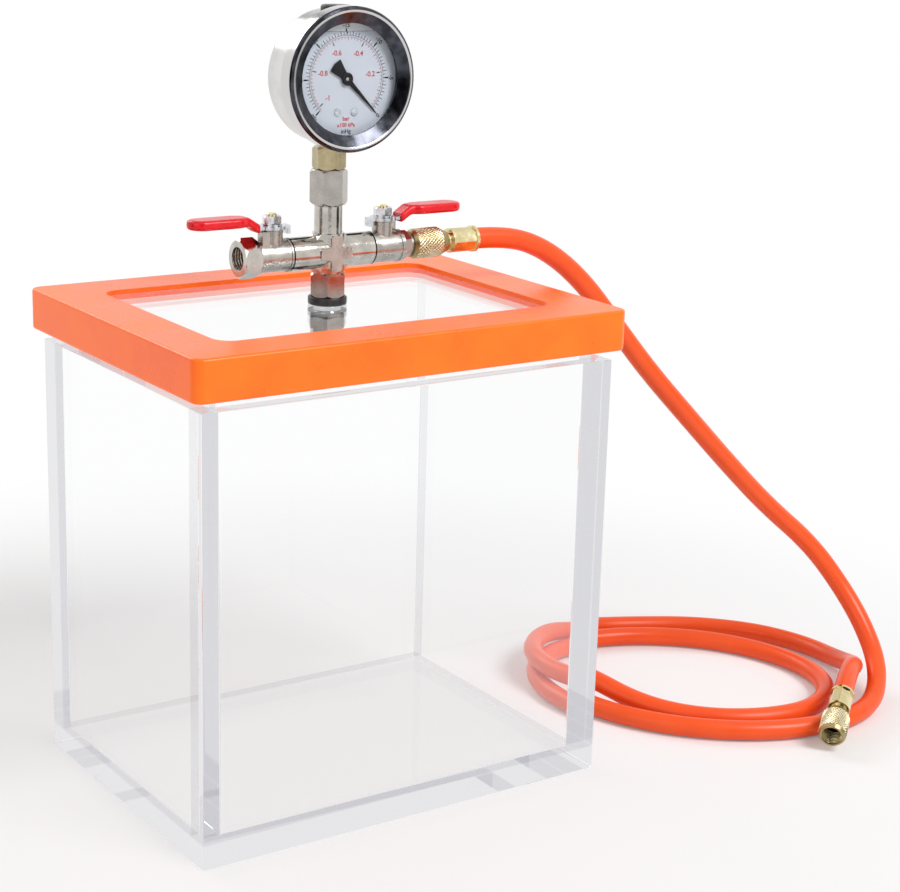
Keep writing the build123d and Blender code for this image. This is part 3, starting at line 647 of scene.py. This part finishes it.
# %% Helper: a copy with every edge rounded
def rounded_copy(source, voxel, rounds):
    """Remeshes a copy into small even faces and smooths it so many rounds."""
    work = bmesh.new()
    work.from_mesh(source.data)
    bmesh.ops.remove_doubles(work, verts=work.verts, dist=1e-6)
    mesh = bpy.data.meshes.new(source.name + "_dipped")
    work.to_mesh(mesh)
    work.free()
    holder = bpy.data.objects.new(mesh.name, mesh)
    bpy.context.scene.collection.objects.link(holder)
    remesh = holder.modifiers.new("voxels", "REMESH")
    remesh.mode, remesh.voxel_size = "VOXEL", voxel
    smooth = holder.modifiers.new("smooth", "SMOOTH")
    smooth.factor, smooth.iterations = 0.5, rounds
    mesh = plain_mesh(holder)
    bpy.data.objects.remove(holder)
    mesh.polygons.foreach_set("use_smooth", [True] * len(mesh.polygons))
    return mesh


# %% Rounded grips
GRIP_VOXEL, GRIP_ROUNDS = 0.45 * MM, 40
for side in ("left", "right"):
    grip = rounded_copy(NODES[side + "_lever_grip"], GRIP_VOXEL, GRIP_ROUNDS)
    piece(
        side + "_dipped_grip", grip, vinyl, side + "_lever_set",
        stands_for=(side + "_lever_grip",),
    )
    print(side, "grip", len(grip.polygons), "faces")

# %% [markdown]
# ## Geometry Nodes: helpers
# Knurls, threads and the marks of a dial are one small shape repeated along a rule. Each rule is
# a node tree with named inputs. A tree is run once on an empty mesh, and its result is kept as
# a plain mesh, because other programs can't read the tree.


# %% Start and end a node tree
def new_tree(name, inputs):
    """A tree with named inputs, each with its kind and its first value."""
    tree = bpy.data.node_groups.new(name, "GeometryNodeTree")
    for label, kind, value in inputs:
        socket = tree.interface.new_socket(label, in_out="INPUT", socket_type="NodeSocket" + kind)
        if value is not None:
            socket.default_value = value
    tree.interface.new_socket("Geometry", in_out="OUTPUT", socket_type="NodeSocketGeometry")
    return tree, tree.nodes.new("NodeGroupInput"), tree.nodes.new("NodeGroupOutput")


def end_tree(tree, geometry, inputs, output):
    """Every tree ends by making its instances real and giving them their material."""
    real = tree.nodes.new("GeometryNodeRealizeInstances")
    dressed = tree.nodes.new("GeometryNodeSetMaterial")
    tree.links.new(geometry, real.inputs[0])
    tree.links.new(real.outputs[0], dressed.inputs["Geometry"])
    tree.links.new(inputs.outputs["Material"], dressed.inputs["Material"])
    tree.links.new(dressed.outputs[0], output.inputs[0])


# %% Run a node tree
def run_tree(tree, name, values, place=Matrix.Identity(4)):
    """Runs a tree on an empty mesh with these inputs, and lays its result in place."""
    holder = bpy.data.objects.new(name, bpy.data.meshes.new(name))
    bpy.context.scene.collection.objects.link(holder)
    modifier = holder.modifiers.new(name, "NODES")
    modifier.node_group = tree
    for item in tree.interface.items_tree:
        if item.in_out == "INPUT" and item.name in values:
            modifier[item.identifier] = values[item.name]
    mesh = plain_mesh(holder)
    bpy.data.objects.remove(holder)
    mesh.name = name
    mesh.transform(place)
    print(name, len(mesh.polygons), "faces")
    return mesh


# %% [markdown]
# ## Threads and knurls
# A thread is a spiral ridge. The Spiral curve node gives the line, and Curve to Mesh sweeps a
# three-sided profile along it. A diamond knurl is the same ridge, much steeper, repeated round
# the barrel once each way, so one tree makes both. It starts at a point and runs along +Z, and
# a placing matrix lays the result on its fitting.


# %% Node tree: spiral ridges
def ridge_tree():
    """A spiral ridge, copied round the axis, and crossed by its mirror image if asked."""
    tree, given, output = new_tree("spiral_ridges", [
        ("Radius", "Float", 0.007), ("Length", "Float", 0.01), ("Turns", "Float", 1.0),
        ("Height", "Float", 0.0003), ("Starts", "Int", 1), ("Both Ways", "Bool", False),
        ("Steps", "Int", 32), ("Material", "Material", None),
    ])
    link = tree.links.new
    profile = tree.nodes.new("GeometryNodeCurvePrimitiveCircle")
    profile.inputs["Resolution"].default_value = 3
    link(given.outputs["Height"], profile.inputs["Radius"])
    both = []
    for reverse in (False, True):
        spiral = tree.nodes.new("GeometryNodeCurveSpiral")
        spiral.inputs["Reverse"].default_value = reverse
        link(given.outputs["Steps"], spiral.inputs["Resolution"])
        link(given.outputs["Turns"], spiral.inputs["Rotations"])
        link(given.outputs["Radius"], spiral.inputs["Start Radius"])
        link(given.outputs["Radius"], spiral.inputs["End Radius"])
        link(given.outputs["Length"], spiral.inputs["Height"])
        sweep = tree.nodes.new("GeometryNodeCurveToMesh")
        sweep.inputs["Fill Caps"].default_value = True
        link(spiral.outputs[0], sweep.inputs["Curve"])
        link(profile.outputs[0], sweep.inputs["Profile Curve"])
        both.append(sweep.outputs[0])
    pick = tree.nodes.new("GeometryNodeSwitch")
    pick.input_type = "GEOMETRY"
    link(given.outputs["Both Ways"], pick.inputs["Switch"])
    link(both[1], pick.inputs["True"])
    pair = tree.nodes.new("GeometryNodeJoinGeometry")
    link(both[0], pair.inputs[0])
    link(pick.outputs[0], pair.inputs[0])
    starts = tree.nodes.new("GeometryNodePoints")
    link(given.outputs["Starts"], starts.inputs["Count"])
    index = tree.nodes.new("GeometryNodeInputIndex")
    share = calculate(tree, "DIVIDE", index.outputs[0], given.outputs["Starts"])
    turn = tree.nodes.new("ShaderNodeCombineXYZ")
    link(calculate(tree, "MULTIPLY", share, 2 * pi), turn.inputs["Z"])
    copies = tree.nodes.new("GeometryNodeInstanceOnPoints")
    link(starts.outputs[0], copies.inputs["Points"])
    link(pair.outputs[0], copies.inputs["Instance"])
    link(turn.outputs[0], copies.inputs["Rotation"])
    end_tree(tree, copies.outputs[0], given, output)
    return tree


spiral_ridges = ridge_tree()
print("ridge tree of", len(spiral_ridges.nodes), "nodes")


# %% Helper: a placing matrix
def along(start, way):
    """Lays +Z along a direction, from a point in millimetres."""
    facing = Vector(way).to_track_quat("Z", "Y").to_matrix().to_4x4()
    return Matrix.Translation(Vector(start) * MM) @ facing


# %% [markdown]
# ## The hose
# The hose leaves its ferrule level, bends down under its own weight and lies on the bench in two
# loose turns. It is one NURBS curve whose control points are the route that the solid hose takes
# too, in millimetres, so its line is smooth, and the curve's own bevel gives it its thickness.

# %% Hose along its route
ROUTE = [
    (84, 0, 259.6), (105, 0, 259.6), (127.5, -3, 251.3), (147, -9, 234.5), (164, -16, 211),
    (184, -22, 185), (209, -27, 158), (236, -30.5, 130), (264, -33, 103), (295, -38, 77),
    (309, -50, 54), (313, -67, 34), (307.2, -86, 16.9), (288.6, -102.9, 6), (260.1, -112.1, 5.4),
    (230, -109.5, 5.4), (201, -97, 5.4), (176, -76, 5.4), (158, -49, 5.4), (149, -18, 5.4),
    (151, 14, 5.4), (166, 41, 5.4), (194, 55, 5.4), (225, 50, 5.4), (253, 35, 5.4), (276, 12, 5.4),
    (290, -17, 5.4), (293.1, -49, 5.4), (279.7, -77.9, 5.4), (251, -93.1, 5.4), (218, -88, 5.4),
    (190, -69, 5.4), (173, -42, 7), (159.8, -14.2, 15.9), (153, 12.9, 16.4), (162.8, 41.6, 16.3),
    (189.6, 60.7, 15), (221, 65, 7.5), (253, 56, 5.4), (282, 39, 5.4), (306, 13, 5.4),
    (317, -17, 5.4), (315, -48, 6.5), (301.2, -74.8, 14.9), (277.7, -92.8, 24.9), (257, -109, 18.6),
]
HOSE_RADIUS = 5.25 * MM
hose_curve = bpy.data.curves.new("hose_line", "CURVE")
hose_curve.dimensions = "3D"
hose_curve.bevel_depth, hose_curve.bevel_resolution = HOSE_RADIUS, 5
hose_curve.resolution_u = 8
route_line = hose_curve.splines.new("NURBS")
route_line.points.add(len(ROUTE) - 1)
for control, (x, y, z) in zip(route_line.points, ROUTE):
    control.co = (x * MM, y * MM, z * MM, 1)
route_line.order_u = 3
route_line.use_endpoint_u = True
hose_curve.materials.append(hose_rubber)
hose_line = bpy.data.objects.new("red_hose", hose_curve)
bpy.context.scene.collection.objects.link(hose_line)
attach(hose_line, "chamber")
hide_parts("hose")
print("hose route of", len(ROUTE), "points")

# %% [markdown]
# ## Hose nuts
# Each nut has a diamond knurl on its barrel, so that it can be tightened by hand, and a thread
# inside its mouth. The nuts lie on the line of the hose's first and last stretch, so their place
# and their direction come from the route. The near nut's thread is out of sight on its valve,
# so only the free nut gets one.

# %% Knurls of the hose nuts
NEAR_END = Vector(ROUTE[0])
NEAR_WAY = Vector((-1, 0, 0))
FAR_END = Vector(ROUTE[-1])
FAR_WAY = (FAR_END - Vector(ROUTE[-2])).normalized()
NUT_RADIUS = 7.1
KNURL_FROM, KNURL_LENGTH = 22.0, 14.0  # from the end of the hose's route
KNURL_SUNK, KNURL_HEIGHT, KNURL_TURNS = 0.12, 0.44, 0.27
for end, start, way, body in (
    ("near", NEAR_END, NEAR_WAY, "chamber"), ("far", FAR_END, FAR_WAY, "far_nut_set"),
):
    knurl = run_tree(spiral_ridges, end + "_nut_knurl", {
        "Radius": (NUT_RADIUS - KNURL_SUNK) * MM, "Length": KNURL_LENGTH * MM,
        "Turns": KNURL_TURNS, "Height": KNURL_HEIGHT * MM, "Starts": 25, "Both Ways": True,
        "Steps": 90, "Material": bright_ridge,
    }, along(start + way * KNURL_FROM, way))
    piece(end + "_nut_knurl", knurl, None, body)

# %% Thread in the free nut's mouth
THREAD_FROM = 27.0
mouth = run_tree(spiral_ridges, "far_nut_thread", {
    "Radius": 5.35 * MM, "Length": 10.5 * MM, "Turns": 8.0, "Height": 0.34 * MM,
    "Starts": 1, "Both Ways": False, "Steps": 40, "Material": brass,
}, along(FAR_END + FAR_WAY * THREAD_FROM, FAR_WAY))
piece("far_nut_thread", mouth, None, "far_nut_set")

# %% [markdown]
# ## Threads of the lid's stud and the open port
# Three more fittings are threaded: the end of the stud under the lid's nut, the inside of the
# open port, and the flared end that the hose is screwed to. The solids are plain cylinders
# there, and the same tree winds a ridge on each, one row of the table for each thread.

# %% Stud, port and flare threads
AXIS_Z = 259.6
stud_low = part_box("lid_adapter")[0].z / MM
# name, radius, height of the ridge, length, turns, start, direction, finish
for name, radius, height, length, turns, start, way, metal in (
    ("stud_thread", 6.42, 0.30, 3.0, 2.4, (0, 0, stud_low + 0.4), (0, 0, 1), nickel),
    ("port_thread", 5.62, 0.36, 7.8, 5.6, (-48.1, 0, AXIS_Z), (1, 0, 0), nickel),
    ("flare_thread", 5.15, 0.22, 10.0, 7.5, (44.6, 0, AXIS_Z), (1, 0, 0), satin_nickel),
):
    thread = run_tree(spiral_ridges, name, {
        "Radius": radius * MM, "Length": length * MM, "Turns": turns, "Height": height * MM,
        "Starts": 1, "Both Ways": False, "Steps": 44, "Material": metal,
    }, along(start, way))
    piece(name, thread, None)

# %% [markdown]
# ## The dial
# The dial carries two printed scales. The black one counts inches of mercury below the air's
# pressure, and the red one the same in bar. A scale is a row of marks on an arc: one tree makes
# any of its rows. The figures are text, turned into meshes.


# %% Node tree: a row of marks on an arc
def mark_tree():
    """Small flat bars that point outwards, one step of angle apart."""
    tree, given, output = new_tree("arc_marks", [
        ("First Angle", "Float", 0.0), ("Step Angle", "Float", 0.1), ("Count", "Int", 10),
        ("Radius", "Float", 0.02), ("Length", "Float", 0.002), ("Width", "Float", 0.0002),
        ("Thickness", "Float", 0.00004), ("Material", "Material", None),
    ])
    link = tree.links.new
    points = tree.nodes.new("GeometryNodePoints")
    link(given.outputs["Count"], points.inputs["Count"])
    index = tree.nodes.new("GeometryNodeInputIndex")
    angle = calculate(
        tree, "ADD", given.outputs["First Angle"],
        calculate(tree, "MULTIPLY", index.outputs[0], given.outputs["Step Angle"]),
    )
    half = calculate(tree, "MULTIPLY", given.outputs["Length"], 0.5)
    middle = calculate(tree, "ADD", given.outputs["Radius"], half)
    spot = tree.nodes.new("ShaderNodeCombineXYZ")
    link(calculate(tree, "MULTIPLY", middle, calculate(tree, "COSINE", angle)), spot.inputs["X"])
    link(calculate(tree, "MULTIPLY", middle, calculate(tree, "SINE", angle)), spot.inputs["Y"])
    link(spot.outputs[0], points.inputs["Position"])
    mark = tree.nodes.new("GeometryNodeMeshCube")
    size = tree.nodes.new("ShaderNodeCombineXYZ")
    link(given.outputs["Length"], size.inputs["X"])
    link(given.outputs["Width"], size.inputs["Y"])
    link(given.outputs["Thickness"], size.inputs["Z"])
    link(size.outputs[0], mark.inputs["Size"])
    turn = tree.nodes.new("ShaderNodeCombineXYZ")
    link(angle, turn.inputs["Z"])
    copies = tree.nodes.new("GeometryNodeInstanceOnPoints")
    link(points.outputs[0], copies.inputs["Points"])
    link(mark.outputs[0], copies.inputs["Instance"])
    link(turn.outputs[0], copies.inputs["Rotation"])
    end_tree(tree, copies.outputs[0], given, output)
    return tree


arc_marks = mark_tree()
print("mark tree of", len(arc_marks.nodes), "nodes")

# %% The rows of the two scales
dial_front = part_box("gauge_dial")[0].y / MM
INK = 0.04  # thickness of the print
UPRIGHT = Matrix.Rotation(radians(90), 4, "X")
ON_DIAL = Matrix.Translation((0, (dial_front - INK / 2) * MM, GAUGE_Z * MM)) @ UPRIGHT
ZERO = radians(-45)
SWEEP = radians(270)  # from 0 to 30 inches of mercury
INCHES_IN_A_BAR = 29.53
BAR_SWEEP = SWEEP * INCHES_IN_A_BAR / 30
# name, first angle, step, number, inner radius, length, width, ink
rows = (
    ("inch_half_marks", ZERO, SWEEP / 60, 61, 19.9, 1.3, 0.24, black_ink),
    ("inch_marks", ZERO, SWEEP / 30, 31, 19.9, 1.8, 0.30, black_ink),
    ("inch_five_marks", ZERO, SWEEP / 6, 7, 20.6, 2.2, 0.70, black_ink),
    ("bar_small_marks", ZERO, BAR_SWEEP / 50, 51, 17.9, 1.1, 0.20, red_ink),
    ("bar_tenth_marks", ZERO, BAR_SWEEP / 10, 11, 17.4, 1.6, 0.28, red_ink),
    ("bar_fifth_marks", ZERO, BAR_SWEEP / 5, 6, 16.5, 1.6, 0.50, black_ink),
    ("red_arc", ZERO, SWEEP / 180, 181, 18.9, 0.18, 0.92, red_ink),
    ("black_arc", ZERO, SWEEP / 180, 181, 19.7, 0.18, 0.96, black_ink),
)
for name, first, step, count, radius, length, width, ink in rows:
    marks = run_tree(arc_marks, name, {
        "First Angle": first, "Step Angle": step, "Count": count, "Radius": radius * MM,
        "Length": length * MM, "Width": width * MM, "Thickness": INK * MM, "Material": ink,
    }, ON_DIAL)
    piece(name, marks, None)


# %% [markdown]
# ## The dial's figures
# The figures of the black scale stand round its outside and lean with it; the red ones stand
# upright inside. Each is a text curve, made a mesh before it is laid on the dial. The font's own
# strokes are a little thin for print, so the offset fattens them.


# %% Helper: printed words
INK_SPREAD = 0.06


def printed(text, size, angle, radius, turn, ink, name):
    """Words on the dial, centred at an angle and a radius and turned by turn."""
    words = bpy.data.curves.new(name, "FONT")
    words.body, words.size = text, size * MM
    words.align_x, words.align_y = "CENTER", "CENTER"
    words.extrude = INK / 2 * MM
    words.offset = INK_SPREAD * MM
    holder = bpy.data.objects.new(name, words)
    bpy.context.scene.collection.objects.link(holder)
    mesh = plain_mesh(holder)
    bpy.data.objects.remove(holder)
    spot = Matrix.Translation((radius * MM * cos(angle), radius * MM * sin(angle), 0))
    mesh.transform(ON_DIAL @ spot @ Matrix.Rotation(turn, 4, "Z"))
    return piece(name, mesh, ink)


# %% Figures and units
INCH_SIZE, INCH_RADIUS = 2.8, 24.2
BAR_SIZE, BAR_RADIUS = 3.3, 12.9
for k in range(7):
    angle = ZERO + SWEEP * k / 6
    label, lean = str(-5 * k), angle - radians(90)
    printed(label, INCH_SIZE, angle, INCH_RADIUS, lean, black_ink, f"inch_figure_{5 * k}")
for k in range(1, 6):
    angle = ZERO + BAR_SWEEP * k / 5
    label = "-1" if k == 5 else f"-0.{2 * k}"
    printed(label, BAR_SIZE, angle, BAR_RADIUS, 0.0, red_ink, f"bar_figure_{2 * k}")
for text, size, drop, ink, name in (
    ("bar", 2.8, 18.2, red_ink, "unit_bar"), ("x100 kPa", 2.6, 21.1, red_ink, "unit_kpa"),
    ("inHg", 2.8, 24.0, black_ink, "unit_inhg"),
):
    printed(text, size, radians(-90), drop, 0.0, ink, name)

# %% [markdown]
# ## The gauge's filling
# The case is filled with glycerine, which steadies the pointer. It stops short of the top, and
# its level shows as a line across the dial. It is a thin clear slice between the dial and the
# window: a circle with its top cut off.

# %% Liquid between dial and window
LEVEL = 21.5  # height of the level above the gauge's centre
LIQUID_RADIUS = 26.6
OFF_DIAL = 0.1
ARC_STEPS = 72
top_angle = asin(LEVEL / LIQUID_RADIUS)
arc = [pi - top_angle + (pi + 2 * top_angle) * k / ARC_STEPS for k in range(ARC_STEPS + 1)]
liquid_outline = [(LIQUID_RADIUS * cos(a) * MM, LIQUID_RADIUS * sin(a) * MM) for a in arc]
window_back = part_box("gauge_window")[1].y / MM
liquid_span = window_back * MM + HAIR, (dial_front - OFF_DIAL) * MM
liquid_mesh = filled_plate("liquid", (liquid_outline,), *liquid_span, 0.05 * MM)
# The slice was filled with its depth along Z. The mirror makes depth run towards the dial, and
# turns every face inside out, so the normals are flipped back after it.
deeper = Matrix.Scale(-1, 4, (0, 0, 1))
liquid_mesh.transform(Matrix.Translation((0, 0, GAUGE_Z * MM)) @ UPRIGHT @ deeper)
liquid_mesh.flip_normals()
piece("gauge_liquid", liquid_mesh, glycerine)
print("liquid from y", round(window_back, 2), "to", round(dial_front - OFF_DIAL, 2))

# %% [markdown]
# ## The bench
# The part stands on a pale bench in an even white studio. A plain white floor would be grey
# wherever no lamp reaches it. So where the camera, a mirror or clear plastic sees it, the floor
# glows white, weakly near the part, to keep its shadow, and fully further out.


# %% Helper: which rays see the studio's white
def seen_rays(tree, place):
    """1 for rays from the camera, off glossy metal and through clear plastic."""
    path = node(tree, "ShaderNodeLightPath", place)
    seen = calculate(tree, "MAXIMUM", path.outputs["Is Camera Ray"], path.outputs["Is Glossy Ray"])
    return calculate(tree, "MAXIMUM", seen, path.outputs["Is Transmission Ray"])


# %% Floor
FLOOR_HALF, FLOOR_DROP = 4.0, 0.1 * MM
floor_mesh = bpy.data.meshes.new("bench")
floor_corners = [(x * FLOOR_HALF, y * FLOOR_HALF, 0) for x, y in ((-1, -1), (1, -1), (1, 1), (-1, 1))]
floor_mesh.from_pydata(floor_corners, [], [(0, 1, 2, 3)])
floor_mesh.transform(Matrix.Translation((0, 0, -FLOOR_DROP)))
bench = bpy.data.objects.new("bench", floor_mesh)
bpy.context.scene.collection.objects.link(bench)
print("bench", 2 * FLOOR_HALF, "m wide")

# %% Floor's finish
GLOW_FROM, GLOW_TO = 0.28, 0.55  # metres from the middle of the part
LEAST_GLOW = 0.15
bench_finish = bpy.data.materials.new("pale_bench")
bench_finish.use_nodes = True
tree = bench_finish.node_tree
main = tree.nodes["Principled BSDF"]
main.inputs["Base Color"].default_value = (0.86, 0.86, 0.86, 1)
main.inputs["Roughness"].default_value = 0.7
main.inputs["Specular IOR Level"].default_value = 0.2
place = node(tree, "ShaderNodeTexCoord", (-900, -300))
away = node(tree, "ShaderNodeVectorMath", (-700, -300), operation="LENGTH")
tree.links.new(place.outputs["Object"], away.inputs[0])
fade = node(
    tree, "ShaderNodeMapRange", (-500, -300), in_From_Min=GLOW_FROM, in_From_Max=GLOW_TO,
    interpolation_type="SMOOTHSTEP",
)
tree.links.new(away.outputs["Value"], fade.inputs["Value"])
white = node(tree, "ShaderNodeEmission", (-200, -300), in_Color=(1, 1, 1, 1))
farther = calculate(tree, "MULTIPLY", fade.outputs["Result"], 1 - LEAST_GLOW)
share = calculate(tree, "ADD", LEAST_GLOW, farther)
glow = calculate(tree, "MULTIPLY", seen_rays(tree, (-700, 0)), share)
surface = mixed(tree, glow, main.outputs[0], white.outputs[0], (200, 0))
tree.links.new(surface, tree.nodes["Material Output"].inputs["Surface"])
bench_finish.cycles.emission_sampling = "NONE"
floor_mesh.materials.append(bench_finish)
print("bench white past", GLOW_TO, "m")

# %% [markdown]
# ## The room
# The world is white to be seen and dimmer to light by, so that the background is clean while
# the lamps still shape the part.

# %% World
AMBIENT = 0.45
world = bpy.data.worlds.new("studio")
bpy.context.scene.world = world
world.use_nodes = True
tree = world.node_tree
backdrop = tree.nodes["Background"]
backdrop.inputs["Color"].default_value = (1, 1, 1, 1)
lift = calculate(tree, "MULTIPLY", seen_rays(tree, (-900, 0)), 1 - AMBIENT)
tree.links.new(calculate(tree, "ADD", AMBIENT, lift), backdrop.inputs["Strength"])
print("ambient light", AMBIENT)

# %% [markdown]
# ## Lamps and cards
# A large key lamp stands in front, a weak fill on the left and a soft lamp behind, all discs, so
# that shadows are soft. Polished metal is mostly what it mirrors, and in an all-white room it
# would look like chalk. So five dark cards stand round the part, as in a studio. Only glossy
# rays see them, so they darken nothing else.


# %% Lamps
def soft_lamp(name, spot, target, size, power):
    """A disc lamp at a spot that faces a target."""
    data = bpy.data.lights.new(name, "AREA")
    data.shape, data.size, data.energy = "DISK", size, power
    lamp = bpy.data.objects.new(name, data)
    bpy.context.scene.collection.objects.link(lamp)
    lamp.location = spot
    lamp.rotation_mode = "QUATERNION"
    lamp.rotation_quaternion = (Vector(target) - Vector(spot)).to_track_quat("-Z", "Y")
    return lamp


soft_lamp("key_lamp", (0.5, -1.3, 1.5), (0.05, 0, 0.2), 0.9, 26)
soft_lamp("fill_lamp", (-1.5, -0.5, 0.9), (0, 0, 0.2), 1.0, 3)
soft_lamp("back_lamp", (-0.3, 1.4, 1.3), (0, 0, 0.2), 1.0, 9)
print(len(bpy.data.lights), "lamps")

# %% Cards
CARD_FACING = Vector((0, 0, 0.3))
card_black = finish("card_black", (0.02, 0.02, 0.02), (0.03, 0.03, 0.03), (0.8, 0.9), patch=60)


def black_card(name, centre, width, height):
    """A dark card that stands at a centre, faces the part and shows in reflections alone."""
    mesh = bpy.data.meshes.new(name)
    half_w, half_h = width / 2, height / 2
    corners = [(x * half_w, y * half_h, 0) for x, y in ((-1, -1), (1, -1), (1, 1), (-1, 1))]
    mesh.from_pydata(corners, [], [(0, 1, 2, 3)])
    turned = (CARD_FACING - Vector(centre)).to_track_quat("Z", "Y").to_matrix().to_4x4()
    mesh.transform(Matrix.Translation(centre) @ turned)
    card = bpy.data.objects.new(name, mesh)
    bpy.context.scene.collection.objects.link(card)
    mesh.materials.append(card_black)
    card.visible_camera = card.visible_diffuse = False
    card.visible_shadow = card.visible_transmission = False
    return card


cards = [
    black_card("card_camera_side", (-0.55, -1.6, 0.55), 0.9, 1.5),
    black_card("card_right", (1.2, -0.9, 0.35), 0.7, 1.2),
    black_card("card_left", (-1.3, 0.1, 0.3), 0.6, 1.2),
    black_card("card_high_back", (0.1, 1.5, 1.7), 2.6, 1.0),
    black_card("card_high_front", (0.1, -1.2, 1.9), 2.0, 0.35),
]
print(len(cards), "cards")

# %% [markdown]
# ## The camera
# The camera stands to the left of the front, a little higher than the gauge, and leans by under
# two degrees. Three directions say how it is turned: back, from the part to the lens, then right
# and up, both rolled about it. They are the columns of its matrix.

# %% Camera
CAMERA_AT = Vector((-498.56, -832.80, 434.22)) * MM
AZIMUTH, ELEVATION, ROLL = radians(-34.4955), radians(15.5185), radians(1.6689)
back = Vector((sin(AZIMUTH) * cos(ELEVATION), -cos(AZIMUTH) * cos(ELEVATION), sin(ELEVATION)))
level = Vector((cos(AZIMUTH), sin(AZIMUTH), 0))
upright = back.cross(level)
right = level * cos(ROLL) + upright * sin(ROLL)
up = upright * cos(ROLL) - level * sin(ROLL)
facing = Matrix((right, up, back)).transposed().to_4x4()
camera_data = bpy.data.cameras.new("camera")
camera_data.lens, camera_data.sensor_width = 82.45, 36.0
camera_data.clip_start, camera_data.clip_end = 0.05, 20.0
camera = bpy.data.objects.new("camera", camera_data)
bpy.context.scene.collection.objects.link(camera)
camera.matrix_world = Matrix.Translation(CAMERA_AT) @ facing
bpy.context.scene.camera = camera
bpy.context.scene.view_settings.view_transform = "Standard"
print("camera", round(CAMERA_AT.length, 3), "m away")
